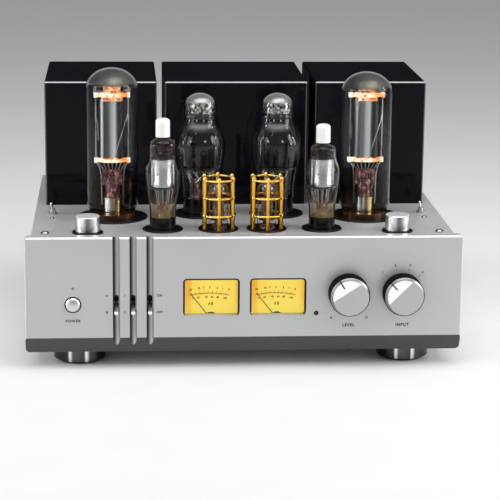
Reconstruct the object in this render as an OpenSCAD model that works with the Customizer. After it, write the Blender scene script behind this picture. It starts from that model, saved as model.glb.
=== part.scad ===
// Tube power amplifier with a fluted front panel, eight tubes and three transformer covers.
// Millimetres. X runs to the right, Y to the back, Z up; the feet stand on Z = 0.

/* [Parts] */
// Sub-part to draw, or all of them

/* [Front panel] */
// Width of the front panel
panel_w = 460; // [450:1:480]
// Height of the front panel
panel_h = 125; // [122:0.5:130]
// Thickness of the front panel
panel_t = 12; // [10:0.5:14]
// Radius of the panel's corners in the front view
panel_corner_r = 4.5; // [1:0.5:6]
// Chamfer along the top front edge
panel_edge = 1.7; // [0.5:0.1:3]
// Chamfer along the two upright front edges
panel_end_edge = 1.2; // [0.5:0.1:3]
// Height of the sloped band along the foot of the panel
band_h = 17; // [12:0.5:22]
// Depth by which the sloped band recedes at its lower edge
band_d = 7; // [4:0.5:9]
// Rise of the panel's top edge above the deck
panel_lip = 2.5; // [1:0.1:4]
// Overhang of the panel past each side of the chassis
panel_overhang = 6.5; // [4:0.5:10]

/* [Flutes and toggles] */
// Radius of each upright half-round flute
flute_r = 3.75; // [3:0.05:4.5]
// Distance between neighbouring flutes
flute_pitch = 17.6; // [15:0.1:20]
// Distance of the middle flute from the panel's left end
flute_in = 113; // [110:0.5:116]
// Width of each toggle slot
slot_w = 5; // [4.8:0.1:6]
// Height of each toggle slot
slot_h = 22; // [18:0.5:25]
// Distance of the slots below the panel's top edge
slot_drop = 73.5; // [70:0.5:77]
// Radius of a toggle lever at its thick end
lever_r = 2.2; // [1.8:0.05:2.4]
// Radius of a toggle lever at its pivot
lever_root_r = 1.3; // [1:0.05:1.5]
// Reach of a toggle lever in front of the panel
lever_reach = 10; // [9:0.5:16]
// Angle of a toggle lever below level at rest
lever_tilt = 15; // [10:0.5:17]
// Radius of a toggle lever's pivot pin
lever_pin_r = 1; // [0.8:0.05:1.2]
// Depth of the pivot behind the panel
pivot_depth = 4; // [3:0.5:6]
// Room in a toggle switch body behind the pivot
switch_room = 6; // [4:0.5:8]
// Edge of a toggle switch body above and below its slot
switch_edge = 3; // [2:0.5:4]
// Width of a toggle switch body
switch_w = 11; // [10:0.5:13]
// Depth of a toggle switch body
switch_d = 18; // [14:0.5:24]

/* [Button and lamps] */
// Distance of the power button from the panel's left end
button_in = 50; // [44:0.5:54]
// Distance of the power button below the panel's top edge
button_drop = 72; // [68:0.5:76]
// Radius of the power button
button_r = 7.7; // [6.5:0.1:9]
// Reach of the button's dome in front of the panel
button_reach = 4; // [3.5:0.1:6]
// Width of the power switch body
power_switch_w = 20; // [17:0.5:24]
// Depth of the power switch body
power_switch_d = 26; // [22:0.5:32]
// Reach of the button's stem into its switch
button_stem_l = 8; // [6:0.5:10]
// Travel of the power button
button_travel = 3; // [2:0.1:3.2]
// Distance of the power lamp below the panel's top edge
lamp_drop = 54.5; // [50:0.5:58]
// Radius of the power lamp
lamp_r = 1.4; // [1:0.1:2]
// Distance of the remote window from the right meter window
remote_step = 10.7; // [9:0.1:12]
// Distance of the remote window below the panel's top edge
remote_drop = 82.8; // [78:0.1:88]
// Radius of the remote window
remote_r = 2.6; // [2:0.1:3.2]
// Distance of the second lamp from the remote window
second_lamp_step = 9; // [7:0.5:11]
// Radius of the second lamp
second_lamp_r = 0.9; // [0.7:0.1:1.2]

/* [Knobs] */
// Distance of the selector knob from the panel's right end
selector_in = 63.7; // [58:0.1:66]
// Distance between the volume knob and the selector knob
knob_pitch = 57.3; // [52:0.1:60]
// Distance of both knobs below the panel's top edge
knob_drop = 60.8; // [56:0.1:66]
// Radius of each knob
knob_r = 21.3; // [18:0.1:23]
// Depth of each knob
knob_h = 20; // [16:0.5:24]
// Gap between knob and panel
knob_gap = 1.2; // [0.6:0.1:2]
// Chamfer around a knob's face
knob_edge = 3.2; // [1:0.1:4]
// Distance of the slanted part of a knob's face from its axis, towards the pointer
slant_x = 5.5; // [3:0.1:8]
// Slope of the slanted part of a knob's face, falling away from the pointer
slant_angle = 6; // [3:0.5:8]
// Length of the pointer line on a knob
pointer_l = 7; // [5:0.5:11]
// Width of the pointer line on a knob
pointer_w = 1.5; // [0.8:0.1:2.5]
// Depth of the pointer line on a knob
pointer_d = 0.7; // [0.4:0.1:1.2]
// Angle of the volume pointer left of upright
volume_angle = 33; // [0:1:60]
// Angle of the selector pointer left of upright
selector_angle = 45; // [30:1:60]
// Radius of the control shafts
shaft_r = 3; // [2.5:0.05:3.2]
// Radius of the threaded bushing around a shaft
bushing_r = 4.6; // [4:0.1:5]
// Radius of the nut on a bushing
nut_r = 7; // [6:0.1:8]
// Radius of the volume potentiometer
pot_r = 13; // [10:0.5:16]
// Depth of the volume potentiometer
pot_d = 18; // [14:0.5:24]
// Radius of the selector switch
selector_r = 15; // [12:0.5:18]
// Depth of the selector switch
selector_d = 26; // [20:0.5:34]

/* [Meters] */
// Width of each meter window
window_w = 59.5; // [56:0.5:61]
// Height of each meter window
window_h = 40.8; // [36:0.1:44]
// Radius of the window corners
window_r = 4; // [2:0.5:6]
// Distance between the middles of the two windows
window_pitch = 70.2; // [70:0.1:72]
// Distance of the window middles below the panel's top edge
window_drop = 65.1; // [63:0.1:68]
// Thickness of a meter lens
lens_t = 2; // [1.5:0.1:3]
// Room between lens and dial
dial_gap = 4.5; // [4.2:0.1:6]
// Thickness of a dial
dial_t = 1; // [0.6:0.1:1.5]
// Edge of the case beside a window
case_edge = 4; // [3.5:0.1:4.2]
// Reach of the case below a window
case_foot = 18; // [16:0.5:22]
// Wall of a meter case
case_wall = 2; // [1.5:0.1:2.5]
// Depth of a meter case behind its dial
case_d = 18; // [12:0.5:24]
// Distance of a needle's pivot below its window
needle_drop = 7; // [5:0.5:8]
// Length of a needle
needle_l = 35.2; // [32:0.1:37]
// Width of a needle
needle_w = 0.9; // [0.6:0.1:1.4]
// Angle of a needle left of upright at rest
needle_angle = 38; // [30:1:42]
// Radius of a needle's axle
axle_r = 0.6; // [0.5:0.05:0.8]
// Radius of the cap over a needle's axle
axle_cap_r = 7.8; // [7.4:0.1:9]

/* [Chassis] */
// Depth of the chassis behind the front panel
chassis_d = 334.3; // [330:0.5:345]
// Height of the chassis from its bottom plate to its deck
chassis_h = 118.5; // [115:0.5:122]
// Thickness of the deck
deck_t = 3; // [2:0.5:4]
// Thickness of the side walls
wall_t = 2; // [1.5:0.1:3]
// Thickness of the rear panel
rear_t = 2; // [1.5:0.1:3]
// Thickness of the bottom plate
bottom_t = 2; // [1.5:0.1:3]
// Distance of the deck screws from the deck's sides
deck_screw_in = 14.2; // [12:0.1:16]
// Distance of the deck screws behind the panel's face
deck_screw_back = 31.2; // [29:0.1:34]
// Half width of a corner post around its screw
post_half = 7; // [6:0.5:8]
// Radius of the chassis screws
screw_r = 2; // [1.5:0.1:2.5]
// Distance of the rear screws from the chassis's top and bottom
rear_screw_in = 20; // [16:0.5:26]
// Radius of a chassis screw's head
screw_head_r = 4.6; // [4:0.1:5]
// Height of a chassis screw's head
screw_head_h = 2.4; // [1.5:0.1:3]
// Length of a chassis screw below its head
screw_l = 14; // [10:0.5:20]
// Length of a rear screw below its head
rear_screw_l = 12; // [9:0.5:13]
// Radius of a foot
foot_r = 28; // [22:0.5:32]
// Height of a foot
foot_h = 19; // [16:0.5:24]
// Chamfer at the lower and upper edges of a foot
foot_edge = 1.5; // [0.5:0.1:3]
// Radius of a foot pad
pad_r = 23; // [18:0.5:25]
// Thickness of a foot pad
pad_t = 2; // [1:0.1:3]
// Distance of the feet from the deck's sides
foot_in = 49.5; // [40:0.5:60]
// Distance of the front feet behind the panel's face
foot_back = 43; // [42:0.5:60]

/* [Covers] */
// Distance of the outer covers from the deck's sides
cover_margin = 10.3; // [8:0.1:14]
// Width of the middle cover
middle_cover_w = 159.4; // [150:0.2:162]
// Gap between neighbouring covers
cover_gap = 8.9; // [6:0.1:9.5]
// Height of the covers
cover_h = 139.7; // [130:0.1:150]
// Depth of the covers
cover_d = 163.7; // [155:0.1:168]
// Distance of the covers behind the panel's face
cover_back = 174.2; // [172:0.1:177]
// Wall of the covers
cover_wall = 1.5; // [1:0.1:2.5]
// Radius of the covers' edges
cover_r = 2.5; // [1.5:0.1:4]
// Width of the two outer lamination cores
side_core_w = 96; // [84:1:104]
// Width of the middle lamination core
middle_core_w = 114; // [96:1:126]
// Depth of the lamination stacks
core_stack = 50; // [40:1:60]
// Room between a coil and its core
coil_room = 0.3; // [0.2:0.05:0.6]

/* [Power tubes] */
// Distance of the power tubes from the deck's sides
power_in = 85.2; // [80:0.1:88]
// Distance of the power tubes behind the panel's face
power_back = 111.8; // [108:0.1:116]
// Radius of a power tube's base
power_base_r = 24; // [22:0.1:25.5]
// Height of a power tube's base above the deck
power_base_top = 6.5; // [4:0.1:10]
// Radius of a power tube's bulb
power_r = 28.3; // [26:0.1:30]
// Height of the left power tube above the deck
power_top = 164.2; // [162:0.1:172]
// Height by which the right power tube is shorter
power_short = 4.3; // [0:0.1:6]
// Height of a power tube's dome
power_dome = 23.5; // [22:0.5:27]
// Radius of the ring around a power tube
power_ring_r = 38.4; // [36:0.1:42]
// Width of a power tube's plate
plate_w = 25.4; // [22:0.1:27]
// Depth of a power tube's plate
plate_d = 17; // [14:0.1:20]
// Height of a power tube's plate above the deck at its lower end
plate_z = 64.8; // [63:0.1:68]
// Length of a power tube's plate
plate_l = 68.2; // [62:0.1:68.8]
// Wall of a power tube's plate
plate_wall = 1.4; // [1:0.1:2]
// Width of a power tube's spacers
spacer_w = 39; // [38:0.1:42]
// Depth of a power tube's spacers
spacer_d = 20; // [18:0.1:22]
// Thickness of a power tube's spacers
spacer_t = 3; // [2:0.1:4]
// Distance of the support rods from the tube's middle
rod_x = 17.5; // [16:0.1:18.5]
// Radius of the support rods
rod_r = 0.8; // [0.6:0.05:1]
// Width of the ribs on a power tube's plate
rib_w = 1.4; // [1:0.1:2]
// Depth of the ribs on a power tube's plate
rib_d = 3; // [2:0.1:4]
// Radius of a power tube's stem
stem_r = 9.5; // [8:0.1:11]
// Height of a power tube's stem above its base
stem_h = 40; // [34:0.5:46]

/* [Driver tubes] */
// Distance of the driver tubes from the middle
driver_x = 42.3; // [40:0.1:45]
// Distance of the driver tubes behind the panel's face
driver_back = 125.9; // [122:0.1:130]
// Radius of a driver tube's base
driver_base_r = 18.6; // [17:0.1:20]
// Height of a driver tube's base above the deck
driver_base_top = 20; // [16:0.1:24]
// Radius of a driver tube's bulb at its foot
driver_foot_r = 20.6; // [19:0.1:22]
// Radius of a driver tube's bulb at its widest
driver_r = 28.1; // [26:0.1:30]
// Height of a driver tube's widest place above the deck
driver_wide_z = 80; // [76:0.5:84]
// Radius of a driver tube's dome
driver_neck_r = 17.9; // [15.5:0.1:19]
// Height of a driver tube's neck above the deck
driver_neck_z = 108; // [106:0.5:112]
// Height of a driver tube above the deck
driver_top = 134.6; // [132:0.1:138]
// Height of a driver tube's dome
driver_dome = 14; // [12:0.5:16]
// Radius of the ring around a driver tube
driver_ring_r = 29.6; // [28:0.1:32]
// Width of a driver tube's plate
driver_plate_w = 31; // [28:0.1:33]
// Depth of a driver tube's plate
driver_plate_d = 13; // [11:0.1:16]
// Length of a driver tube's plate
driver_plate_l = 46; // [42:0.1:48]
// Height of a driver tube's plate above the deck at its lower end
driver_plate_z = 52; // [50:0.1:54]
// Radius of a driver tube's stem at its foot
driver_stem_r = 11; // [9:0.1:13]
// Length of the seal between a driver tube's stem and plate
driver_seal_l = 12; // [10:0.5:14]

/* [Input tubes] */
// Distance of the input tubes from the middle
input_x = 84.9; // [83:0.1:87]
// Distance of the input and buffer tubes behind the panel's face
front_row_back = 49.5; // [48:0.1:52]
// Radius of an input tube's base
input_base_r = 14; // [13:0.1:15]
// Height of an input tube's base above the deck
input_base_top = 14; // [11:0.1:16]
// Radius of an input tube's bulb at its foot
input_foot_r = 13.8; // [13.2:0.1:15]
// Radius of an input tube's bulb at its widest
input_r = 18.5; // [17:0.1:19.5]
// Height of an input tube's widest place above the deck
input_wide_z = 61; // [58:0.5:64]
// Radius of an input tube's upper glass
input_neck_r = 13.8; // [13:0.1:14.5]
// Height of an input tube's upper glass above the deck
input_neck_z = 79; // [77:0.5:81]
// Height of an input tube's glass above the deck
input_glass_top = 100; // [97:0.1:103]
// Height by which the right input tube is shorter
input_short = 6.4; // [0:0.1:7]
// Height of an input tube's shoulder
input_dome = 8; // [5:0.5:9]
// Radius of the glass tip inside a cap
tip_r = 4; // [3:0.1:5]
// Length of the glass tip inside a cap
tip_l = 8; // [5:0.1:10]
// Radius of a ceramic cap
cap_r = 7.6; // [7:0.1:9]
// Length of a ceramic cap
cap_l = 19.4; // [16:0.1:22]
// Radius of an input tube's plate
input_plate_r = 11.4; // [10:0.1:12]
// Length of an input tube's plate
input_plate_l = 29; // [24:0.1:30]
// Height of an input tube's plate above the deck at its lower end
input_plate_z = 47; // [45:0.1:50]
// Radius of an input tube's stem at its foot
input_stem_r = 8; // [6.5:0.1:9]
// Length of the seal between an input tube's stem and plate
input_seal_l = 8; // [6:0.5:10]
// Radius of the ring around an input or buffer tube
small_ring_r = 21.6; // [20.5:0.1:22.5]

/* [Buffer tubes and cages] */
// Distance of the buffer tubes from the middle
buffer_x = 25.8; // [25.5:0.1:28]
// Radius of a buffer tube
buffer_r = 10.6; // [9.5:0.1:11]
// Height of a buffer tube above the deck
buffer_top = 52; // [46:0.1:56]
// Width of a buffer tube's plate
buffer_plate_w = 12; // [10:0.1:13]
// Depth of a buffer tube's plate
buffer_plate_d = 7; // [6:0.1:8]
// Height of a buffer tube's mount
buffer_mount_h = 32.5; // [28:0.1:35]
// Radius of a buffer tube's spacers
buffer_spacer_r = 9; // [8:0.1:9.2]
// Height of a buffer tube's dome
buffer_dome = 8; // [6:0.5:10]
// Number of rods in a cage
cage_rods = 6; // [5:1:8]
// Radius of a cage rod
cage_rod_r = 2.2; // [1.8:0.05:2.4]
// Radius of the circle of cage rods
cage_circle_r = 17; // [16:0.1:17.6]
// Height of a cage
cage_h = 57; // [55:0.1:62]
// Height of the lowest cage ring
cage_ring_z = 13.2; // [11:0.1:14]
// Distance between cage rings
cage_ring_step = 19.2; // [17:0.1:19.5]
// Width of a cage ring
cage_ring_w = 2.8; // [2.2:0.1:3.2]
// Thickness of a cage ring
cage_ring_t = 2.6; // [2:0.1:3]

/* [Tube fittings] */
// Glass wall of the bulbs
glass_t = 1.2; // [0.8:0.1:1.6]
// Thickness of the socket rings
ring_t = 1.6; // [1:0.1:2.4]
// Depth to which a tube base is sunk below the deck's top
base_sink = 12; // [9:0.5:15]
// Wall of a socket around its base
socket_wall = 4; // [3:0.1:5]
// Thickness of a socket's floor
socket_floor = 8; // [6:0.5:10]
// Radius of a tube pin
pin_r = 1.6; // [1.2:0.1:2]
// Length of a tube pin
pin_l = 6; // [4:0.5:7]

/* [Deck controls] */
// Distance of the bias knobs from the deck's sides
bias_in = 59.1; // [55:0.1:62]
// Distance of the bias knobs behind the panel's face
bias_back = 35.4; // [33.5:0.1:38]
// Radius of a bias knob
bias_r = 13.1; // [11:0.1:14]
// Height of a bias knob
bias_h = 16; // [13:0.1:19]
// Chamfer at a bias knob's top edge
bias_edge = 1; // [0.5:0.1:2]
// Radius of the ring under a bias knob
bias_ring_r = 16.6; // [15:0.1:18]
// Radius of the potentiometer under a bias knob
bias_pot_r = 9; // [7:0.5:11]
// Distance of the bias levers from the deck's sides
bias_lever_in = 19.5; // [17:0.1:22]
// Distance of the bias levers behind the panel's face
bias_lever_back = 128.4; // [125:0.1:132]
// Length of a bias lever above its pivot
bias_lever_l = 9.5; // [7:0.1:12]
// Angle of a bias lever left of upright at rest
bias_lever_tilt = 12; // [8:0.5:13]
// Radius of a bias lever at its thick end
bias_lever_r = 1.5; // [1.2:0.1:1.8]
// Radius of a bias lever at its pivot
bias_lever_root_r = 0.9; // [0.7:0.05:1.1]
// Height of a bias lever's bushing above the deck
bias_post_h = 5.5; // [5:0.1:6.5]
// Radius of a bias lever's bushing
bias_post_r = 3; // [2.8:0.1:3.4]
// Height of a bias lever's pivot above the deck
bias_pivot_z = 3.5; // [3:0.1:4]
// Radius of the hollow around a bias lever's pivot
bias_bore_r = 2.05; // [1.9:0.05:2.3]
// Radius of the pin that a bias lever tips on
bias_pin_r = 0.6; // [0.5:0.05:0.8]
// Radius of the nut around a bias lever
bias_nut_r = 5; // [4.4:0.1:5.6]
// Thickness of the nut around a bias lever
bias_nut_t = 1.8; // [1.4:0.1:2.4]
// Width of a bias lever's switch body
bias_switch_w = 8; // [7:0.5:10]
// Depth of a bias lever's switch body
bias_switch_d = 13; // [10:0.5:15]
// Height of the bias switch bodies and potentiometers
bias_body_h = 12; // [10:0.5:15]
// Reach of a bias knob's shaft below the deck
bias_shaft_l = 8; // [6:0.5:9]
// Gap under a bias knob
bias_gap = 0.6; // [0.4:0.1:1]
// Radius of a small side screw
side_screw_r = 1.2; // [1:0.1:1.5]
// Height of a small side screw's head
side_screw_head_h = 1.4; // [1:0.1:2]
// Reach of a small side screw below the deck
side_screw_l = 4; // [3:0.5:6]
// Distance of the small side screws in front of the bias levers
side_screw_step = 25; // [20:0.5:30]
// Radius of a small side screw's head
side_screw_head_r = 2.7; // [2.2:0.1:3.2]

/* [Rear connections] */
// Height of the rear connections above the bottom plate's underside
rear_z = 56; // [50:0.5:62]
// Distance of the mains inlet from the deck's left side
inlet_in = 58.5; // [54:0.5:62]
// Width of the mains inlet's hollow
inlet_hole_w = 24.6; // [24:0.1:26]
// Height of the mains inlet's hollow
inlet_hole_h = 16.6; // [16:0.1:18]
// Depth of the mains inlet's hollow
inlet_hole_d = 16; // [14:0.5:18]
// Wall of the mains inlet
inlet_wall = 1.8; // [1.4:0.1:2.4]
// Width of the mains inlet's flange
inlet_flange_w = 48; // [44:0.5:52]
// Height of the mains inlet's flange
inlet_flange_h = 28; // [24:0.5:32]
// Thickness of the mains inlet's flange
inlet_flange_t = 2.5; // [2:0.1:4]
// Reach of the mains inlet's body past its hollow
inlet_back = 6; // [5:0.5:8]
// Thickness of a mains pin
inlet_pin_t = 2; // [1.8:0.1:2.2]
// Width of a mains pin
inlet_pin_w = 4; // [3.6:0.1:4.4]
// Distance of the two lower mains pins from the middle
inlet_pin_x = 7; // [6:0.1:8]
// Distance of the mains pins above and below the middle
inlet_pin_z = 3.5; // [3:0.1:4]
// Radius of the fuse cap
fuse_r = 7.5; // [6.5:0.1:9]
// Length of the fuse cap
fuse_l = 10; // [8:0.5:14]
// Radius of the fuse holder's body
fuse_body_r = 6; // [5:0.1:6.4]
// Reach of the fuse holder's body inside
fuse_inside = 20; // [16:0.5:26]
// Width of the slot in the fuse cap
fuse_slot = 1.6; // [1.2:0.1:2.4]
// Distance of the fuse cap from the mains inlet
fuse_step = 40; // [36:0.5:44]
// Distance of the last input jack pair from the deck's right side
jack_in = 40; // [36:0.5:46]
// Distance between input jack pairs
jack_pitch = 24; // [20:0.5:28]
// Distance between the two rows of input jacks
jack_rise = 24; // [20:0.5:28]
// Radius of an input jack's barrel
jack_r = 4.15; // [4:0.05:4.3]
// Length of an input jack's barrel
jack_l = 9; // [8:0.5:11]
// Radius of an input jack's contact hole
jack_hole_r = 1.6; // [1.5:0.05:1.8]
// Radius of an input jack's thread
jack_thread_r = 3; // [2.6:0.1:3.6]
// Reach of an input jack's thread inside
jack_inside = 8; // [6:0.5:12]
// Thickness of an input jack's flange
jack_flange_t = 3; // [2:0.1:4]
// Radius of an input jack's flange
jack_flange_r = 6.5; // [5.5:0.1:7.5]
// Distance of the first speaker post from the fuse cap
post_step = 39; // [34:0.5:42]
// Distance between neighbouring speaker posts
post_pitch = 24; // [20:0.5:26]
// Radius of a speaker post's cap
post_cap_r = 7; // [6:0.1:8]
// Length of a speaker post's cap
post_cap_l = 18; // [14:0.5:22]
// Radius of a speaker post's collar
post_collar_r = 8; // [7:0.1:9]
// Length of a speaker post's collar
post_collar_l = 6; // [4:0.5:8]
// Reach of a speaker post's stud inside
post_inside = 10; // [8:0.5:14]
// Radius of a speaker post's stud
post_stud_r = 3; // [2.5:0.1:3.5]

/* [Inside] */
// Width of the circuit board
board_w = 300; // [260:5:340]
// Depth of the circuit board
board_d = 130; // [110:5:150]
// Thickness of the circuit board
board_t = 1.6; // [1.2:0.1:2.4]
// Distance of the circuit board behind the panel's face
board_back = 75; // [70:1:90]
// Height of the spacers under the circuit board
standoff_h = 8; // [6:0.5:12]
// Radius of the spacers under the circuit board
standoff_r = 4; // [3:0.5:5]
// Radius of a filter capacitor
capacitor_r = 17.5; // [14:0.5:20]
// Height of a filter capacitor
capacitor_h = 48; // [36:1:52]
// Distance between filter capacitors
capacitor_pitch = 60; // [46:1:66]

/* [Fits] */
// Running clearance around turning and sliding parts
run_fit = 0.05; // [0.03:0.01:0.08]
// Clearance around parts that are pressed or screwed in
snug_fit = 0.02; // [0.01:0.01:0.05]
// Clearance around parts that drop into place
loose_fit = 0.2; // [0.15:0.05:0.4]
// Clearance beside moving parts
free_fit = 0.5; // [0.4:0.05:0.7]

/* [Hidden] */
$fn = 96;
cut = 0.5;
front_reach = knob_gap + knob_h;
rear_reach = post_collar_l + post_cap_l;
body_d = panel_t + chassis_d;
panel_y = (body_d + rear_reach + front_reach) / -2 + front_reach;
chassis_z = pad_t + foot_h;
deck_z = chassis_z + chassis_h;
panel_top = deck_z + panel_lip;
panel_z = panel_top - panel_h;
deck_w = panel_w - 2 * panel_overhang;
wall_z = chassis_z + bottom_t;
wall_h = chassis_h - bottom_t - deck_t;
under_deck = deck_z - deck_t;
panel_rear = panel_t;
rear_face = body_d;
inner_x = deck_w / 2 - wall_t;
jack_count = 4;
post_count = 6;
flute_x = flute_in - panel_w / 2;
button_x = button_in - panel_w / 2;
selector_x = panel_w / 2 - selector_in;
volume_x = selector_x - knob_pitch;
remote_x = window_pitch / 2 + window_w / 2 + remote_step;
deck_screw_x = deck_w / 2 - deck_screw_in;
foot_x = deck_w / 2 - foot_in;
power_x = deck_w / 2 - power_in;
bias_x = deck_w / 2 - bias_in;
bias_lever_x = deck_w / 2 - bias_lever_in;
side_cover_w = deck_w / 2 - cover_margin - middle_cover_w / 2 - cover_gap;
inlet_x = inlet_in - deck_w / 2;
post_x = inlet_x + fuse_step + post_step;
jack_x = deck_w / 2 - jack_in - (jack_count - 1) * jack_pitch;
rear_post_back = rear_face - rear_t - post_half;
side_cover_x = middle_cover_w / 2 + cover_gap + side_cover_w / 2;
window_low = window_drop + window_h / 2;
window_top = window_drop - window_h / 2;
case_w = window_w + 2 * case_edge;
case_h = window_h + case_edge + case_foot;
case_drop = window_top - case_edge + case_h / 2;
lens_back = panel_rear + lens_t;
dial_front = lens_back + dial_gap;
needle_pivot_drop = window_low + needle_drop;
pivot_back = panel_rear + pivot_depth;
ground_z = deck_z + ring_t;
power_tops = [power_top, power_top - power_short];
input_tops = [input_glass_top, input_glass_top - input_short];
sides = [-1, 1];

// Places: on the panel (outward is +Z), on the deck, and on the rear panel (outward is +Z)
module on_panel(x, drop)
    translate([x, panel_y, panel_top - drop])
        rotate([90, 0, 0])
            children();

module on_deck(x, back)
    translate([x, panel_y + back, deck_z])
        children();

module on_rear(x, up)
    translate([x, panel_y + rear_face, chassis_z + up])
        rotate([-90, 0, 0])
            children();

// Flat shapes
module rounded(w, h, r) {
    square([w - 2 * r, h], center = true);
    square([w, h - 2 * r], center = true);
    for (x = sides, y = sides)
        translate([x * (w / 2 - r), y * (h / 2 - r)])
            circle(r);
}

module slot_shape(w, h) {
    square([w, h - w], center = true);
    for (y = sides)
        translate([0, y * (h - w) / 2])
            circle(w / 2);
}

// Bulb outlines: the radius eases from station to station, then an elliptic dome closes the top
function ease(t) = (1 - cos(180 * t)) / 2;
function span(a, b, n, inset) = [for (i = [0 : n - 1])
    [a[0] + (b[0] - a[0]) * ease(i / n) - inset, a[1] + (b[1] - a[1]) * i / n]];
function flank(stations, n, inset) = [for (s = [0 : len(stations) - 2])
    each span(stations[s], stations[s + 1], n, inset)];
function dome(r, z, h, n, inset) = [for (i = [0 : n])
    [(r - inset) * cos(90 * i / n), z + (h - inset) * sin(90 * i / n)]];
function bulb_line(stations, dome_h, inset) = let (last = stations[len(stations) - 1])
    concat(flank(stations, 7, inset), dome(last[0], last[1], dome_h, 8, inset));
function backwards(line) = [for (i = [len(line) - 1 : -1 : 0]) line[i]];

module bulb(stations, dome_h)
    rotate_extrude()
        polygon(concat(bulb_line(stations, dome_h, 0),
            backwards(bulb_line(stations, dome_h, glass_t))));

function power_stations(top) = [[power_base_r, power_base_top],
    [power_r, power_base_top + 9], [power_r, top - power_dome]];
driver_stations = [[driver_foot_r, driver_base_top], [driver_r, driver_wide_z],
    [driver_neck_r, driver_neck_z], [driver_neck_r, driver_top - driver_dome]];
function input_stations(top) = [[input_foot_r, input_base_top], [input_r, input_wide_z],
    [input_neck_r, input_neck_z], [input_neck_r, top - input_dome]];
buffer_stations = [[buffer_r - 1, ring_t], [buffer_r, ring_t + 6],
    [buffer_r, buffer_top - buffer_dome]];

// Front panel

module panel_outline()
    polygon([[panel_y, panel_z + band_h], [panel_y, panel_top - panel_edge],
        [panel_y + panel_edge, panel_top], [panel_y + panel_t, panel_top],
        [panel_y + panel_t, panel_z], [panel_y + band_d, panel_z]]);

module panel_plan()
    polygon([[-panel_w / 2, panel_y + panel_end_edge],
        [-panel_w / 2 + panel_end_edge, panel_y],
        [panel_w / 2 - panel_end_edge, panel_y], [panel_w / 2, panel_y + panel_end_edge],
        [panel_w / 2, panel_y + panel_t], [-panel_w / 2, panel_y + panel_t]]);

module panel_hole(x, drop, r)
    on_panel(x, drop)
        translate([0, 0, -panel_t - cut])
            cylinder(h = panel_t + 2 * cut, r = r);

module front_panel()
    color("#b9b9bb")
    difference() {
        intersection() {
            translate([-panel_w / 2, 0, 0])
                rotate([90, 0, 90])
                    linear_extrude(panel_w)
                        panel_outline();
            translate([0, 0, panel_z])
                linear_extrude(panel_h)
                    panel_plan();
            on_panel(0, panel_h / 2)
                translate([0, 0, -panel_t - cut])
                    linear_extrude(panel_t + 2 * cut)
                        rounded(panel_w, panel_h, panel_corner_r);
        }
        for (i = [-1 : 1]) {
            translate([flute_x + i * flute_pitch, panel_y, panel_z - cut])
                cylinder(h = panel_h + 2 * cut, r = flute_r);
            on_panel(flute_x + i * flute_pitch, slot_drop)
                translate([0, 0, -panel_t - cut])
                    linear_extrude(panel_t + 2 * cut)
                        slot_shape(slot_w, slot_h);
        }
        for (s = sides)
            on_panel(s * window_pitch / 2, window_drop)
                translate([0, 0, -panel_t - cut])
                    linear_extrude(panel_t + 2 * cut)
                        rounded(window_w, window_h, window_r);
        panel_hole(volume_x, knob_drop, bushing_r + loose_fit);
        panel_hole(selector_x, knob_drop, bushing_r + loose_fit);
        panel_hole(button_x, button_drop, button_r + free_fit);
        panel_hole(button_x, lamp_drop, lamp_r + snug_fit);
        panel_hole(remote_x, remote_drop, remote_r + snug_fit);
        panel_hole(remote_x + second_lamp_step, remote_drop, second_lamp_r + snug_fit);
    }

// Toggle levers, switches and lamps

module toggle_lever(i)
    color("#d8d8da")
    translate([flute_x + i * flute_pitch, panel_y + pivot_back, panel_top - slot_drop])
        rotate([lever_tilt, 0, 0]) {
            rotate([90, 0, 0])
                cylinder(h = pivot_back + lever_reach - lever_r, r1 = lever_root_r, r2 = lever_r);
            translate([0, lever_r - pivot_back - lever_reach, 0])
                sphere(lever_r);
            rotate([0, 90, 0])
                cylinder(h = switch_w - 1, r = lever_pin_r, center = true);
            sphere(lever_root_r + 0.6);
        }

module left_toggle_lever() toggle_lever(-1);

module middle_toggle_lever() toggle_lever(0);

module right_toggle_lever() toggle_lever(1);

module toggle_switches()
    color("#202022")
    for (i = [-1 : 1])
        translate([flute_x + i * flute_pitch, panel_y + panel_rear, panel_top - slot_drop])
            difference() {
                translate([-switch_w / 2, 0, -slot_h / 2 - switch_edge])
                    cube([switch_w, switch_d, slot_h + 2 * switch_edge]);
                translate([-slot_w / 2, -cut, -slot_h / 2])
                    cube([slot_w, pivot_depth + switch_room + cut, slot_h]);
                translate([0, pivot_depth, 0])
                    rotate([0, 90, 0])
                        cylinder(h = switch_w + 2 * cut, r = lever_pin_r + run_fit,
                            center = true);
            }

button_stem_r = shaft_r;
button_back = panel_t - button_travel - free_fit;
button_stem_back = panel_rear + button_stem_l;

module power_button()
    color("#c6c6c8")
    on_panel(button_x, button_drop) {
        rotate_extrude()
            polygon(concat([[0, -button_back], [button_r, -button_back]],
                dome(button_r, button_reach / 2, button_reach / 2, 8, 0)));
        translate([0, 0, -button_stem_back])
            cylinder(h = button_stem_back, r = button_stem_r);
    }

module power_switch()
    color("#262628")
    on_panel(button_x, button_drop)
        difference() {
            translate([0, 0, -panel_rear - power_switch_d / 2])
                cube([power_switch_w, power_switch_w, power_switch_d], center = true);
            translate([0, 0, -button_stem_back - button_travel - free_fit])
                cylinder(h = button_stem_back + button_travel, r = button_stem_r + run_fit);
        }

module indicator_lenses() {
    color("#d02018")
    on_panel(button_x, lamp_drop)
        translate([0, 0, -panel_t])
            cylinder(h = panel_t + 0.3, r = lamp_r);
    color("#180c10")
    on_panel(remote_x, remote_drop)
        translate([0, 0, -panel_t])
            cylinder(h = panel_t - 0.4, r = remote_r);
    color("#f09030")
    on_panel(remote_x + second_lamp_step, remote_drop)
        translate([0, 0, -panel_t])
            cylinder(h = panel_t + 0.2, r = second_lamp_r);
}

// Knobs with their shafts and controls

knob_bore_d = knob_h - 5;
knob_hollow_r = nut_r + 2;
knob_hollow_d = 5;
nut_t = 2.5;

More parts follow.
